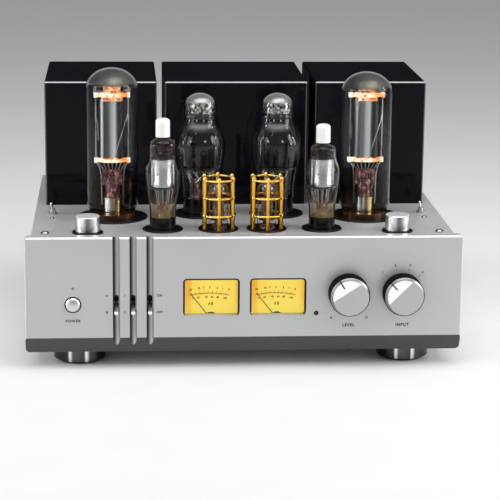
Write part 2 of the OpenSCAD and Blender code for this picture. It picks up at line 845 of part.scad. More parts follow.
module front_knob(x, angle)
    color("#c9cacc")
    on_panel(x, knob_drop)
        translate([0, 0, knob_gap])
            difference() {
                rotate_extrude()
                    polygon([[0, 0], [knob_r - 0.6, 0], [knob_r, 0.6],
                        [knob_r, knob_h - knob_edge], [knob_r - knob_edge, knob_h],
                        [0, knob_h]]);
                translate([0, 0, -cut])
                    cylinder(h = knob_bore_d + cut, r = shaft_r + snug_fit);
                translate([0, 0, -cut])
                    cylinder(h = knob_hollow_d + cut, r = knob_hollow_r);
                rotate(90 + angle) {
                    translate([knob_r - knob_edge - pointer_l, -pointer_w / 2,
                        knob_h - pointer_d])
                        cube([knob_edge + pointer_l + cut, pointer_w, pointer_d + cut]);
                    translate([slant_x, 0, knob_h])
                        rotate([0, -slant_angle, 0])
                            translate([-2 * knob_r, -2 * knob_r, 0])
                                cube([2 * knob_r, 4 * knob_r, knob_h]);
                }
            }

module volume_knob() front_knob(volume_x, volume_angle);

module selector_knob() front_knob(selector_x, selector_angle);

module control_shaft(x, inside)
    color("#a8a8aa")
    on_panel(x, knob_drop)
        translate([0, 0, -panel_rear - inside])
            cylinder(h = panel_rear + inside + knob_gap + knob_bore_d - 0.5, r = shaft_r);

module volume_shaft() control_shaft(volume_x, pot_d - 4);

module selector_shaft() control_shaft(selector_x, selector_d - 4);

module control_body(x, r, d)
    on_panel(x, knob_drop) {
        difference() {
            union() {
                translate([0, 0, -panel_rear - d])
                    cylinder(h = d, r = r);
                translate([0, 0, -panel_rear - 1])
                    cylinder(h = panel_rear + 1 + nut_t + 0.6, r = bushing_r);
            }
            translate([0, 0, -panel_rear - d + 3])
                cylinder(h = d + panel_rear + nut_t, r = shaft_r + run_fit);
        }
        difference() {
            cylinder(h = nut_t, r = nut_r, $fn = 6);
            translate([0, 0, -cut])
                cylinder(h = nut_t + 2 * cut, r = bushing_r + snug_fit);
        }
    }

module volume_potentiometer() color("#5a5a5c") control_body(volume_x, pot_r, pot_d);

module selector_switch() color("#6a655c") control_body(selector_x, selector_r, selector_d);

// Meters

module meter_block(s, near, deep, inset)
    on_panel(s * window_pitch / 2, case_drop)
        translate([0, 0, -near - deep])
            linear_extrude(deep)
                rounded(case_w - 2 * inset, case_h - 2 * inset, window_r - inset / 2);

module at_pivot(s, back)
    on_panel(s * window_pitch / 2, needle_pivot_drop)
        translate([0, 0, -back])
            children();

needle_t = 0.5;
hub_r = 1.8;
cap_back = lens_back + 1.4;
hub_front = cap_back + 0.3;
hub_l = dial_front - hub_front - 0.5;

module meter_lenses()
    color("#e8eef0")
    for (s = sides)
        meter_block(s, panel_rear, lens_t, 0);

module meter_cases()
    color("#18181a")
    for (s = sides) {
        difference() {
            meter_block(s, lens_back, dial_gap + dial_t + case_d, 0);
            meter_block(s, lens_back - cut, dial_gap + dial_t + cut, case_wall);
        }
        at_pivot(s, dial_front + dial_t + 1)
            cylinder(h = dial_front + dial_t + 1 - lens_back - 0.8, r = axle_r);
        at_pivot(s, cap_back)
            cylinder(h = 1, r = axle_cap_r);
    }

module meter_dials()
    color("#f0a828")
    for (s = sides)
        difference() {
            meter_block(s, dial_front, dial_t, case_wall + loose_fit);
            at_pivot(s, dial_front + dial_t + cut)
                cylinder(h = dial_t + 2 * cut, r = axle_r + loose_fit);
        }

module meter_needle(s)
    color("#101010")
    at_pivot(s, hub_front + hub_l)
        difference() {
            union() {
                cylinder(h = hub_l, r = hub_r);
                rotate(90 + needle_angle)
                    translate([0, -needle_w / 2, 0.4]) {
                        cube([needle_l, needle_w, needle_t]);
                        translate([-6, -1.2, 0])
                            cube([6, needle_w + 2.4, needle_t]);
                    }
            }
            translate([0, 0, -cut])
                cylinder(h = hub_l + 2 * cut, r = axle_r + run_fit);
        }

module left_meter_needle() meter_needle(-1);

module right_meter_needle() meter_needle(1);

// Chassis

tube_seats = [
    [power_x, power_back, power_base_r, power_ring_r],
    [driver_x, driver_back, driver_base_r, driver_ring_r],
    [input_x, front_row_back, input_base_r, small_ring_r]];

module top_deck()
    color("#a9aaac")
    difference() {
        translate([-deck_w / 2, panel_y + panel_rear, under_deck])
            cube([deck_w, chassis_d, deck_t]);
        for (s = sides) {
            for (seat = tube_seats)
                deck_hole(s * seat[0], seat[1], seat[2] + 1);
            deck_hole(s * bias_x, bias_back, shaft_r + free_fit);
            deck_hole(s * bias_lever_x, bias_lever_back, bias_post_r + loose_fit);
            deck_hole(s * bias_lever_x, bias_lever_back - side_screw_step,
                side_screw_r + snug_fit);
            deck_hole(s * deck_screw_x, deck_screw_back, screw_r + loose_fit);
        }
    }

module deck_hole(x, back, r)
    on_deck(x, back)
        translate([0, 0, -deck_t - cut])
            cylinder(h = deck_t + 2 * cut, r = r);

module side_walls()
    color("#8f9092")
    for (s = sides)
        translate([s * (deck_w - wall_t) / 2, panel_y + panel_rear + chassis_d / 2 - rear_t / 2,
            wall_z + wall_h / 2])
            cube([wall_t, chassis_d - rear_t, wall_h], center = true);

module rear_panel()
    color("#96979a")
    difference() {
        translate([-deck_w / 2, panel_y + rear_face - rear_t, wall_z])
            cube([deck_w, rear_t, wall_h]);
        on_rear(inlet_x, rear_z)
            translate([0, 0, -rear_t / 2])
                cube([inlet_hole_w + 2 * inlet_wall + 2 * loose_fit,
                    inlet_hole_h + 2 * inlet_wall + 2 * loose_fit, rear_t + 2 * cut],
                    center = true);
        rear_hole(inlet_x + fuse_step, rear_z, fuse_body_r + loose_fit);
        for (i = [0 : jack_count - 1], row = sides)
            rear_hole(jack_x + i * jack_pitch, rear_z + row * jack_rise / 2,
                jack_thread_r + snug_fit);
        for (i = [0 : post_count - 1])
            rear_hole(post_x + i * post_pitch, rear_z, post_stud_r + loose_fit);
        for (s = sides, up = [rear_screw_in, chassis_h - rear_screw_in])
            rear_hole(s * deck_screw_x, up, screw_r + loose_fit);
    }

module rear_hole(x, up, r)
    on_rear(x, up)
        translate([0, 0, -rear_t - cut])
            cylinder(h = rear_t + 2 * cut, r = r);

module vent(x, back)
    translate([x, panel_y + back, chassis_z - cut])
        linear_extrude(bottom_t + 2 * cut)
            slot_shape(4, 40);

module bottom_plate()
    color("#7c7d80")
    difference() {
        translate([-deck_w / 2, panel_y + panel_rear, chassis_z])
            cube([deck_w, chassis_d, bottom_t]);
        for (i = [-6 : 6])
            vent(i * 12, rear_face - 60);
        for (s = sides, back = [deck_screw_back, rear_post_back])
            translate([s * deck_screw_x, panel_y + back, chassis_z - cut])
                cylinder(h = bottom_t + 2 * cut, r = screw_r + loose_fit);
    }

module corner_posts()
    color("#707174")
    for (s = sides) {
        difference() {
            post_block(s, panel_rear, deck_screw_back + post_half);
            post_bore(s, deck_screw_back, wall_z + wall_h - screw_l);
            post_bore(s, deck_screw_back, wall_z - cut);
        }
        difference() {
            post_block(s, rear_post_back - post_half, rear_face - rear_t);
            post_bore(s, rear_post_back, wall_z - cut);
            for (up = [rear_screw_in, chassis_h - rear_screw_in])
                on_rear(s * deck_screw_x, up)
                    translate([0, 0, -rear_t - 2 * post_half + 1])
                        cylinder(h = 2 * post_half, r = screw_r + snug_fit);
        }
    }

module post_block(s, near, far)
    translate([s > 0 ? deck_screw_x - post_half : -inner_x, panel_y + near, wall_z])
        cube([inner_x - deck_screw_x + post_half, far - near, wall_h]);

module post_bore(s, back, z)
    translate([s * deck_screw_x, panel_y + back, z])
        cylinder(h = screw_l + cut, r = screw_r + snug_fit);

module at_feet()
    for (s = sides, back = [foot_back, rear_face - foot_back])
        translate([s * foot_x, panel_y + back, 0])
            children();

module feet()
    color("#d4d5d7")
    at_feet()
        rotate_extrude()
            polygon([[0, pad_t], [foot_r - foot_edge, pad_t], [foot_r, pad_t + foot_edge],
                [foot_r, chassis_z - foot_edge], [foot_r - foot_edge, chassis_z],
                [0, chassis_z]]);

module foot_pads()
    color("#1c1c1e")
    at_feet()
        cylinder(h = pad_t, r = pad_r);

module screw(head_r, head_h, r, l) {
    rotate_extrude()
        polygon([[0, 0], [head_r, 0], [head_r, head_h * 0.4], [head_r - head_h * 0.6, head_h],
            [0, head_h]]);
    translate([0, 0, -l])
        cylinder(h = l + 0.1, r = r);
}

module chassis_screws()
    color("#c0c1c4")
    for (s = sides) {
        on_deck(s * deck_screw_x, deck_screw_back)
            screw(screw_head_r, screw_head_h, screw_r, screw_l);
        on_deck(s * bias_lever_x, bias_lever_back - side_screw_step)
            screw(side_screw_head_r, side_screw_head_h, side_screw_r, deck_t + side_screw_l);
        for (up = [rear_screw_in, chassis_h - rear_screw_in])
            on_rear(s * deck_screw_x, up)
                screw(screw_head_r, screw_head_h, screw_r, rear_screw_l);
        for (back = [deck_screw_back, rear_post_back])
            translate([s * deck_screw_x, panel_y + back, chassis_z])
                rotate([180, 0, 0])
                    screw(screw_head_r, screw_head_h, screw_r, screw_l);
    }

// Covers and transformers

module cover(x, w)
    color("#101218")
    on_deck(x, cover_back + cover_d / 2)
        difference() {
            intersection() {
                linear_extrude(cover_h)
                    rounded(w, cover_d, cover_r);
                translate([0, cover_d / 2 + cut, 0])
                    rotate([90, 0, 0])
                        linear_extrude(cover_d + 2 * cut)
                            rounded(w, 2 * cover_h, cover_r);
                translate([-w / 2 - cut, 0, 0])
                    rotate([90, 0, 90])
                        linear_extrude(w + 2 * cut)
                            rounded(cover_d, 2 * cover_h, cover_r);
            }
            translate([cover_wall - w / 2, cover_wall - cover_d / 2, -cut])
                cube([w - 2 * cover_wall, cover_d - 2 * cover_wall,
                    cover_h - cover_wall + cut]);
        }

module left_cover() cover(-side_cover_x, side_cover_w);

module middle_cover() cover(0, middle_cover_w);

module right_cover() cover(side_cover_x, side_cover_w);

module at_transformers() {
    on_deck(-side_cover_x, cover_back + cover_d / 2)
        children(0);
    on_deck(side_cover_x, cover_back + cover_d / 2)
        children(0);
    on_deck(0, cover_back + cover_d / 2)
        children(1);
}

// A laminated core: three upright legs between two yokes, five legs high and six wide
module core(w) {
    leg = w / 6;
    difference() {
        translate([-w / 2, -core_stack / 2, 0])
            cube([w, core_stack, 5 * leg]);
        for (s = sides)
            translate([s * 1.5 * leg - leg / 2, -core_stack / 2 - cut, leg])
                cube([leg, core_stack + 2 * cut, 3 * leg]);
    }
}

// A winding around the middle leg
module coil(w) {
    leg = w / 6;
    thick = leg - 2 * coil_room;
    translate([0, 0, leg + coil_room])
        linear_extrude(3 * leg - 2 * coil_room)
            difference() {
                square([2 * leg + 2 * coil_room + 2 * thick,
                    core_stack + 2 * coil_room + 2 * thick], center = true);
                square([2 * leg + 2 * coil_room, core_stack + 2 * coil_room], center = true);
            }
}

// The compound that fills a cover around its core and winding
module potting(w, core_w) {
    leg = core_w / 6;
    room = cover_wall + loose_fit;
    difference() {
        translate([room - w / 2, room - cover_d / 2, 0])
            cube([w - 2 * room, cover_d - 2 * room, cover_h - room]);
        translate([-core_w / 2 - loose_fit, -core_stack / 2 - loose_fit, -cut])
            cube([core_w + 2 * loose_fit, core_stack + 2 * loose_fit,
                5 * leg + loose_fit + cut]);
        translate([-2 * leg - loose_fit, -core_stack / 2 - leg - loose_fit, leg])
            cube([4 * leg + 2 * loose_fit, core_stack + 2 * leg + 2 * loose_fit, 3 * leg]);
    }
}

module transformer_cores()
    color("#4a4a4e")
    at_transformers() {
        core(side_core_w);
        core(middle_core_w);
    }

module transformer_coils()
    color("#a8642c")
    at_transformers() {
        coil(side_core_w);
        coil(middle_core_w);
    }

module transformer_potting()
    color("#2c2622")
    at_transformers() {
        potting(side_cover_w, side_core_w);
        potting(middle_cover_w, middle_core_w);
    }

// Sockets, rings and bases

module at_seats(x, back)
    for (s = sides)
        on_deck(s * x, back)
            children();

module pins(r, count, fit)
    for (i = [0 : count - 1])
        rotate(360 * (i + 0.5) / count)
            translate([r, 0, -base_sink - pin_l])
                cylinder(h = pin_l + 1, r = pin_r + fit);

pin_count = 4;

module tube_base(r, top) {
    translate([0, 0, -base_sink])
        cylinder(h = base_sink + top, r = r);
    pins(r * 0.5, pin_count, 0);
}

module socket(r)
    difference() {
        translate([0, 0, -base_sink - socket_floor])
            cylinder(h = base_sink + socket_floor - deck_t, r = r + socket_wall);
        translate([0, 0, -base_sink])
            cylinder(h = base_sink, r = r + loose_fit);
        pins(r * 0.5, pin_count, 2 * snug_fit);
    }

module tube_sockets()
    color("#e4e0d6")
    for (seat = tube_seats)
        at_seats(seat[0], seat[1])
            socket(seat[2]);

module ring(outer, inner)
    rotate_extrude()
        polygon([[inner, 0], [outer, 0], [outer, ring_t / 2], [outer - ring_t / 2, ring_t],
            [inner, ring_t]]);

module socket_rings()
    color("#141416") {
        for (seat = tube_seats)
            at_seats(seat[0], seat[1])
                ring(seat[3], seat[2] + loose_fit);
        at_seats(buffer_x, front_row_back)
            ring(small_ring_r, 1);
        at_seats(bias_x, bias_back)
            ring(bias_ring_r, shaft_r + free_fit);
    }

module power_tube_bases() color("#7a4a20") at_seats(power_x, power_back)
    tube_base(power_base_r, power_base_top);

module driver_tube_bases() color("#1a1a1c") at_seats(driver_x, driver_back)
    tube_base(driver_base_r, driver_base_top);

module input_tube_bases() color("#1a1a1c") at_seats(input_x, front_row_back)
    tube_base(input_base_r, input_base_top);

// Power tubes

module power_tube_bulbs()
    color("#d8dde0", 0.4)
    for (i = [0, 1])
        on_deck(sides[i] * power_x, power_back)
            bulb(power_stations(power_tops[i]), power_dome);

module power_tube_plates()
    color("#6a6b6e")
    at_seats(power_x, power_back)
        translate([0, 0, plate_z])
            linear_extrude(plate_l)
                difference() {
                    union() {
                        square([plate_w, plate_d], center = true);
                        for (x = [-0.3, 0, 0.3], y = sides)
                            translate([x * plate_w, y * plate_d / 2])
                                square([rib_w, rib_d], center = true);
                    }
                    square([plate_w - 2 * plate_wall, plate_d - 2 * plate_wall],
                        center = true);
                }

module spacer()
    difference() {
        linear_extrude(spacer_t)
            rounded(spacer_w, spacer_d, 4);
        for (s = sides)
            translate([s * rod_x, 0, -cut])
                cylinder(h = spacer_t + 2 * cut, r = rod_r + snug_fit);
    }

module power_tube_spacers()
    color("#e8d8b8")
    at_seats(power_x, power_back) {
        translate([0, 0, plate_z - spacer_t])
            spacer();
        translate([0, 0, plate_z + plate_l])
            spacer();
    }

module power_tube_stems()
    color("#b8b4ac")
    at_seats(power_x, power_back)
        translate([0, 0, power_base_top]) {
            cylinder(h = stem_h * 0.45, r = stem_r);
            translate([0, 0, stem_h * 0.45])
                cylinder(h = stem_h * 0.35, r1 = stem_r, r2 = stem_r * 0.5);
            translate([0, 0, stem_h * 0.9])
                cube([2 * rod_x + 2 * rod_r, 5, stem_h * 0.2], center = true);
            for (s = sides)
                translate([s * rod_x, 0, stem_h * 0.85])
                    cylinder(h = plate_z + plate_l + spacer_t + 6 - power_base_top
                        - stem_h * 0.85, r = rod_r);
        }

// Driver tubes

module driver_tube_bulbs()
    color("#d8dde0", 0.4)
    at_seats(driver_x, driver_back)
        bulb(driver_stations, driver_dome);

module driver_tube_mounts()
    color("#2a2a2c")
    at_seats(driver_x, driver_back) {
        translate([0, 0, driver_plate_z])
            linear_extrude(driver_plate_l)
                rounded(driver_plate_w, driver_plate_d, 4);
        translate([0, 0, driver_base_top])
            cylinder(h = driver_plate_z - driver_base_top - driver_seal_l, r1 = driver_stem_r,
                r2 = driver_stem_r * 0.7);
        translate([0, 0, driver_plate_z - driver_seal_l - cut])
            linear_extrude(driver_seal_l + 2 * cut)
                square([driver_stem_r * 1.8, driver_stem_r * 0.36], center = true);
        translate([0, 0, driver_plate_z + driver_plate_l - cut])
            cylinder(h = driver_top - driver_dome - driver_plate_z - driver_plate_l - 2,
                r = driver_neck_r - glass_t - 3.5);
        translate([0, 0, driver_top - driver_dome - 4])
            cylinder(h = 1.2, r = driver_neck_r - glass_t - 0.4);
    }

// Input tubes with their caps

module input_tube_bulbs()
    color("#d8dde0", 0.4)
    for (i = [0, 1])
        on_deck(sides[i] * input_x, front_row_back) {
            bulb(input_stations(input_tops[i]), input_dome);
            translate([0, 0, input_tops[i] - glass_t / 2])
                cylinder(h = tip_l + glass_t / 2, r = tip_r);
        }

module input_tube_mounts()
    color("#8a8b8e")
    at_seats(input_x, front_row_back) {
        translate([0, 0, input_plate_z])
            cylinder(h = input_plate_l, r = input_plate_r);
        translate([0, 0, input_base_top])
            cylinder(h = input_plate_z - input_base_top - input_seal_l, r1 = input_stem_r,
                r2 = input_stem_r * 0.75);
        translate([0, 0, input_plate_z - input_seal_l - cut])
            cylinder(h = input_seal_l + 2 * cut, r = input_stem_r / 2);
        translate([0, 0, input_plate_z + input_plate_l - cut])
            cylinder(h = 5 + cut, r = input_plate_r * 0.6);
        translate([0, 0, input_plate_z + input_plate_l + 4.5])
            cylinder(h = 1, r = input_neck_r - glass_t - 0.4);
    }

module input_tube_caps()
    color("#f2f0ec")
    for (i = [0, 1])
        on_deck(sides[i] * input_x, front_row_back)
            translate([0, 0, input_tops[i]])
                difference() {
                    rotate_extrude()
                        polygon([[0, 0], [cap_r, 0], [cap_r, cap_l - 3.4], [cap_r - 0.5, cap_l - 1.8],
                            [cap_r - 1.7, cap_l - 0.6], [cap_r - 3.4, cap_l], [0, cap_l]]);
                    translate([0, 0, -cut])
                        cylinder(h = tip_l + 1 + cut, r = tip_r + snug_fit);
                }

// Buffer tubes and cages

module buffer_tube_bulbs()
    color("#c8a890", 0.5)
    at_seats(buffer_x, front_row_back)
        bulb(buffer_stations, buffer_dome);

module buffer_tube_mounts()
    color("#5c5450")
    at_seats(buffer_x, front_row_back)
        translate([0, 0, ring_t]) {
            cylinder(h = buffer_mount_h * 0.15, r = buffer_plate_d);
            linear_extrude(buffer_mount_h)
                square([buffer_plate_w, buffer_plate_d], center = true);
            for (up = [0.25, 0.95])
                translate([0, 0, buffer_mount_h * up])
                    cylinder(h = buffer_mount_h * 0.03, r = buffer_spacer_r);
        }

module tube_cages()
    color("#c89a3a")
    at_seats(buffer_x, front_row_back)
        translate([0, 0, ring_t]) {
            for (i = [0 : cage_rods - 1])
                rotate(360 * i / cage_rods - 90)
                    translate([cage_circle_r, 0, 0]) {
                        cylinder(h = cage_h - cage_rod_r, r = cage_rod_r);
                        translate([0, 0, cage_h - cage_rod_r])
                            sphere(cage_rod_r);
                    }
            for (i = [0 : 2])
                translate([0, 0, cage_ring_z + i * cage_ring_step])
                    rotate_extrude()
                        translate([cage_circle_r + cage_rod_r + 0.3 - cage_ring_w, 0])
                            square([cage_ring_w, cage_ring_t]);
        }

// Controls on the deck

module bias_knob(s)
    color("#cfd0d2")
    on_deck(s * bias_x, bias_back) {
        translate([0, 0, ring_t + bias_gap])
            rotate_extrude()
                polygon([[0, 0], [bias_r, 0], [bias_r, bias_h - bias_edge],
                    [bias_r - bias_edge, bias_h], [0, bias_h]]);
        translate([0, 0, -deck_t - bias_shaft_l])
            cylinder(h = deck_t + bias_shaft_l + ring_t + bias_gap + cut, r = shaft_r);
    }

module left_bias_knob() bias_knob(-1);

module right_bias_knob() bias_knob(1);

module bias_lever(s)
    color("#d8d8da")
    on_deck(s * bias_lever_x, bias_lever_back)
        translate([0, 0, bias_pivot_z])
            rotate([0, -bias_lever_tilt, 0]) {
                sphere(bias_bore_r - run_fit);
                rotate([90, 0, 0])
                    cylinder(h = 2 * bias_post_r - free_fit, r = bias_pin_r, center = true);
                cylinder(h = bias_lever_l - bias_lever_r, r1 = bias_lever_root_r,
                    r2 = bias_lever_r);
                translate([0, 0, bias_lever_l - bias_lever_r])
                    sphere(bias_lever_r);
            }

module left_bias_lever() bias_lever(-1);

module right_bias_lever() bias_lever(1);

module bias_controls()
    for (s = sides) {
        color("#7a7a7c")
        on_deck(s * bias_lever_x, bias_lever_back) {
            difference() {
                union() {
                    translate([0, 0, -deck_t - bias_body_h / 2])
                        cube([bias_switch_w, bias_switch_d, bias_body_h], center = true);
                    translate([0, 0, -deck_t - cut])
                        cylinder(h = deck_t + cut + bias_post_h, r = bias_post_r);
                }
                translate([0, 0, bias_pivot_z - bias_bore_r])
                    cylinder(h = bias_post_h, r = bias_bore_r);
                translate([0, 0, bias_pivot_z])
                    rotate([90, 0, 0])
                        cylinder(h = 4 * bias_post_r, r = bias_pin_r + run_fit, center = true);
            }
            difference() {
                cylinder(h = bias_nut_t, r = bias_nut_r, $fn = 6);
                translate([0, 0, -cut])
                    cylinder(h = bias_nut_t + 2 * cut, r = bias_post_r + snug_fit);
            }
        }
        color("#5a5a5c")
        on_deck(s * bias_x, bias_back)
            difference() {
                translate([0, 0, -deck_t - bias_body_h])
                    cylinder(h = bias_body_h, r = bias_pot_r);
                translate([0, 0, -deck_t - bias_shaft_l - free_fit])
                    cylinder(h = bias_shaft_l + free_fit + cut, r = shaft_r + run_fit);
            }
    }

// Rear connections

inlet_pins = [[0, -inlet_pin_z], [-inlet_pin_x, inlet_pin_z], [inlet_pin_x, inlet_pin_z]];
inlet_floor = inlet_flange_t - inlet_hole_d;

module mains_inlet() {
    color("#161618")
    on_rear(inlet_x, rear_z)
        difference() {
            union() {
                translate([-inlet_flange_w / 2, -inlet_flange_h / 2, 0])
                    cube([inlet_flange_w, inlet_flange_h, inlet_flange_t]);
                translate([-inlet_hole_w / 2 - inlet_wall, -inlet_hole_h / 2 - inlet_wall,
                    inlet_floor - inlet_back])
                    cube([inlet_hole_w + 2 * inlet_wall, inlet_hole_h + 2 * inlet_wall,
                        inlet_hole_d + inlet_back]);
            }
            translate([-inlet_hole_w / 2, -inlet_hole_h / 2, inlet_floor])
                cube([inlet_hole_w, inlet_hole_h, inlet_hole_d + cut]);
            for (p = inlet_pins)
                translate([p[0], p[1], inlet_floor])
                    cube([inlet_pin_t, inlet_pin_w, 3 * inlet_back], center = true);
        }
    color("#c8c8ca")
    on_rear(inlet_x, rear_z)
        for (p = inlet_pins)
            translate([p[0], p[1], inlet_flange_t - inlet_hole_d / 2 - inlet_back])
                cube([inlet_pin_t - 2 * snug_fit, inlet_pin_w - 2 * snug_fit,
                    inlet_hole_d + inlet_back], center = true);
    color("#1e1e20")
    on_rear(inlet_x + fuse_step, rear_z) {
        difference() {
            cylinder(h = fuse_l, r = fuse_r);
            translate([-fuse_r - cut, -fuse_slot / 2, fuse_l - fuse_slot])
                cube([2 * fuse_r + 2 * cut, fuse_slot, fuse_slot + cut]);
        }
        translate([0, 0, -rear_t - fuse_inside])
            cylinder(h = rear_t + fuse_inside + cut, r = fuse_body_r);
    }
}

module input_jacks()
    color("#c9a450")
    for (i = [0 : jack_count - 1], row = sides)
        on_rear(jack_x + i * jack_pitch, rear_z + row * jack_rise / 2)
            difference() {
                union() {
                    cylinder(h = jack_l + jack_flange_t, r = jack_r);
                    cylinder(h = jack_flange_t, r = jack_flange_r);
                    translate([0, 0, -rear_t - jack_inside])
                        cylinder(h = rear_t + jack_inside + cut, r = jack_thread_r);
                }
                translate([0, 0, jack_flange_t + 1])
                    cylinder(h = jack_l, r = jack_hole_r);
            }

module speaker_posts()
    for (i = [0 : post_count - 1])
        on_rear(post_x + i * post_pitch, rear_z) {
            color("#1a1a1c")
            difference() {
                cylinder(h = post_collar_l, r = post_collar_r);
                translate([0, 0, -cut])
                    cylinder(h = post_collar_l + 2 * cut, r = post_stud_r + snug_fit);
            }
            color("#c9a450")
            union() {
                translate([0, 0, -rear_t - post_inside])
                    cylinder(h = rear_t + post_inside + post_collar_l + cut, r = post_stud_r);
                translate([0, 0, post_collar_l])
                    rotate_extrude()
                        polygon([[0, 0], [post_cap_r, 0], [post_cap_r, post_cap_l - 1],
                            [post_cap_r - 1, post_cap_l], [0, post_cap_l]]);
            }
        }

// Inside the chassis

module circuit_board()
    color("#2c5a3c")
    translate([0, panel_y + board_back, wall_z]) {
        translate([-board_w / 2, 0, standoff_h])
            cube([board_w, board_d, board_t]);
        for (s = sides, y = [8, board_d - 8])
            translate([s * (board_w / 2 - 8), y, 0])
                cylinder(h = standoff_h + 0.1, r = standoff_r);
    }

module filter_capacitors()
    color("#2a3a5c")
    translate([0, panel_y + board_back + board_d / 2, wall_z + standoff_h + board_t])
        for (i = [-1.5 : 1 : 1.5])
            translate([i * capacitor_pitch, 0, 0])
                cylinder(h = capacitor_h, r = capacitor_r);

front_panel();
top_deck();
side_walls();
rear_panel();
bottom_plate();
corner_posts();
feet();
foot_pads();
chassis_screws();
left_cover();
middle_cover();
right_cover();
transformer_cores();
transformer_coils();
transformer_potting();
power_tube_bulbs();
power_tube_bases();
power_tube_plates();
power_tube_spacers();
power_tube_stems();
driver_tube_bulbs();
driver_tube_bases();
driver_tube_mounts();
input_tube_bulbs();
input_tube_bases();
input_tube_mounts();
input_tube_caps();
buffer_tube_bulbs();
buffer_tube_mounts();
tube_cages();
tube_sockets();
socket_rings();
volume_knob();
volume_shaft();
volume_potentiometer();
selector_knob();
selector_shaft();
selector_switch();
power_button();
power_switch();
left_toggle_lever();
middle_toggle_lever();
right_toggle_lever();
toggle_switches();
indicator_lenses();
meter_cases();
meter_dials();
meter_lenses();
left_meter_needle();
right_meter_needle();
left_bias_knob();
right_bias_knob();
left_bias_lever();
right_bias_lever();
bias_controls();
mains_inlet();
input_jacks();
speaker_posts();
circuit_board();
filter_capacitors();
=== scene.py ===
# %% [markdown]
# # A tube power amplifier
#
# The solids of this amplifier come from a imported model, in metres, with the front facing -Y.
# In this lesson they get the look of the real thing: satin metal, gloss paint, glass and glow.
# Pieces whose shape is too plain are made again here, in the same place and at the same size.

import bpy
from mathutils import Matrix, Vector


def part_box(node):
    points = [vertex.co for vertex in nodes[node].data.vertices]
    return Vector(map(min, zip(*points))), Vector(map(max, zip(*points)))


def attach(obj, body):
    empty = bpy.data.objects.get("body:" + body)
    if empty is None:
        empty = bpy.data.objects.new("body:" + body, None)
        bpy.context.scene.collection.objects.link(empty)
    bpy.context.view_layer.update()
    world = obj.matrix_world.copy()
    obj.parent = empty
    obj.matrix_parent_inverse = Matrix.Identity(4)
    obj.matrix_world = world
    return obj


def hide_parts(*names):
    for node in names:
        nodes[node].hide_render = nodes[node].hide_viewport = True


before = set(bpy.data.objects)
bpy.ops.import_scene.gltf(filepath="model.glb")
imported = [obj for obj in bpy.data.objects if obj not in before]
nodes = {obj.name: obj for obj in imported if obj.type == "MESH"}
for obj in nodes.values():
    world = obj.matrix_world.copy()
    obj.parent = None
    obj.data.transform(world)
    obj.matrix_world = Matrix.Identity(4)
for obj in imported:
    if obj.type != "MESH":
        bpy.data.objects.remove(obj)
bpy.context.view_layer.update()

# %% [markdown]
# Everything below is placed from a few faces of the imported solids: the front of the panel, its top
# and foot, and the top of the deck. They could be typed in again, but they are read from the model,
# so that a piece always stays where its solid is. MM turns millimetres, which are easier to read,
# into metres.

# %% Sizes that the pieces share
import math

import bmesh
import bpy
from mathutils import Matrix, Vector

MM = 0.001
panel_low, panel_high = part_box("front_panel")
PANEL_FACE, PANEL_TOP, PANEL_FOOT = panel_low.y, panel_high.z, panel_low.z
DECK_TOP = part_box("top_deck")[1].z
print("panel face at", round(PANEL_FACE, 4), "deck top at", round(DECK_TOP, 4))

# %% [markdown]
# ## Camera
#
# The photograph was taken from well in front and a little above, with a long lens, so that the
# upright lines stay almost parallel. A camera object can be aimed by a constraint, but a matrix
# made of three directions also holds the slight roll of the picture, so that is used here.

# %% Camera at the photograph's viewing angle
VIEW_FROM = Vector((-131.1, -2119.7, 594.4)) * MM
VIEW_TURN = math.radians(4.0)
VIEW_DOWN = math.radians(13.454)
VIEW_ROLL = math.radians(0.593)
SENSOR, LENS = 36, 138.24

ahead = Vector((math.sin(VIEW_TURN) * math.cos(VIEW_DOWN),
                math.cos(VIEW_TURN) * math.cos(VIEW_DOWN), -math.sin(VIEW_DOWN)))
right = Vector((math.cos(VIEW_TURN), -math.sin(VIEW_TURN), 0))
up = right.cross(ahead)
side = right * math.cos(VIEW_ROLL) + up * math.sin(VIEW_ROLL)
camera_data = bpy.data.cameras.new("camera")
camera_data.sensor_width = SENSOR
camera_data.lens = LENS
camera = bpy.data.objects.new("camera", camera_data)
view_axes = Matrix((side, side.cross(ahead), -ahead)).transposed()
camera.matrix_world = Matrix.Translation(VIEW_FROM) @ view_axes.to_4x4()
bpy.context.scene.collection.objects.link(camera)
bpy.context.scene.camera = camera
print("camera lens:", camera_data.lens, "mm")

# %% [markdown]
# ## Light
#
# Metal and glass look like what they reflect, so a few large soft lamps do more for them than one
# strong lamp. A broad lamp above draws the bright lines along the top edges, and a tall one on
# each side draws the upright streaks on tubes and knobs; on the covers' front edges, on turned
# metal and on the plates of the power tubes, such lines and streaks are also painted into the
# colour as painted highlights and painted reflections. Two narrow strips further round draw the
# thin bright lines near the edges of the glass. A grey world fills the shadows.

# %% Lamps and world
def soft_lamp(name, place, aim, size, power):
    """A rectangular lamp of the given size, aimed at a point."""
    data = bpy.data.lights.new(name, "AREA")
    data.shape = "RECTANGLE"
    data.size, data.size_y = size
    data.energy = power
    lamp = bpy.data.objects.new(name, data)
    lamp.location = place
    lamp.rotation_euler = (Vector(aim) - Vector(place)).to_track_quat("-Z", "Y").to_euler()
    bpy.context.scene.collection.objects.link(lamp)


soft_lamp("top_lamp", (0.1, -0.55, 1.9), (0, 0, 0.1), (2.2, 1.2), 25)
soft_lamp("left_lamp", (-1.5, -1.0, 0.75), (0, 0, 0.15), (0.5, 1.3), 5)
soft_lamp("right_lamp", (1.6, -0.8, 0.75), (0, 0, 0.15), (0.5, 1.3), 12)
soft_lamp("left_strip", (-1.6, -0.2, 0.6), (0, -0.05, 0.2), (0.16, 1.0), 11)
soft_lamp("right_strip", (1.6, -0.2, 0.6), (0, -0.05, 0.2), (0.16, 1.0), 11)

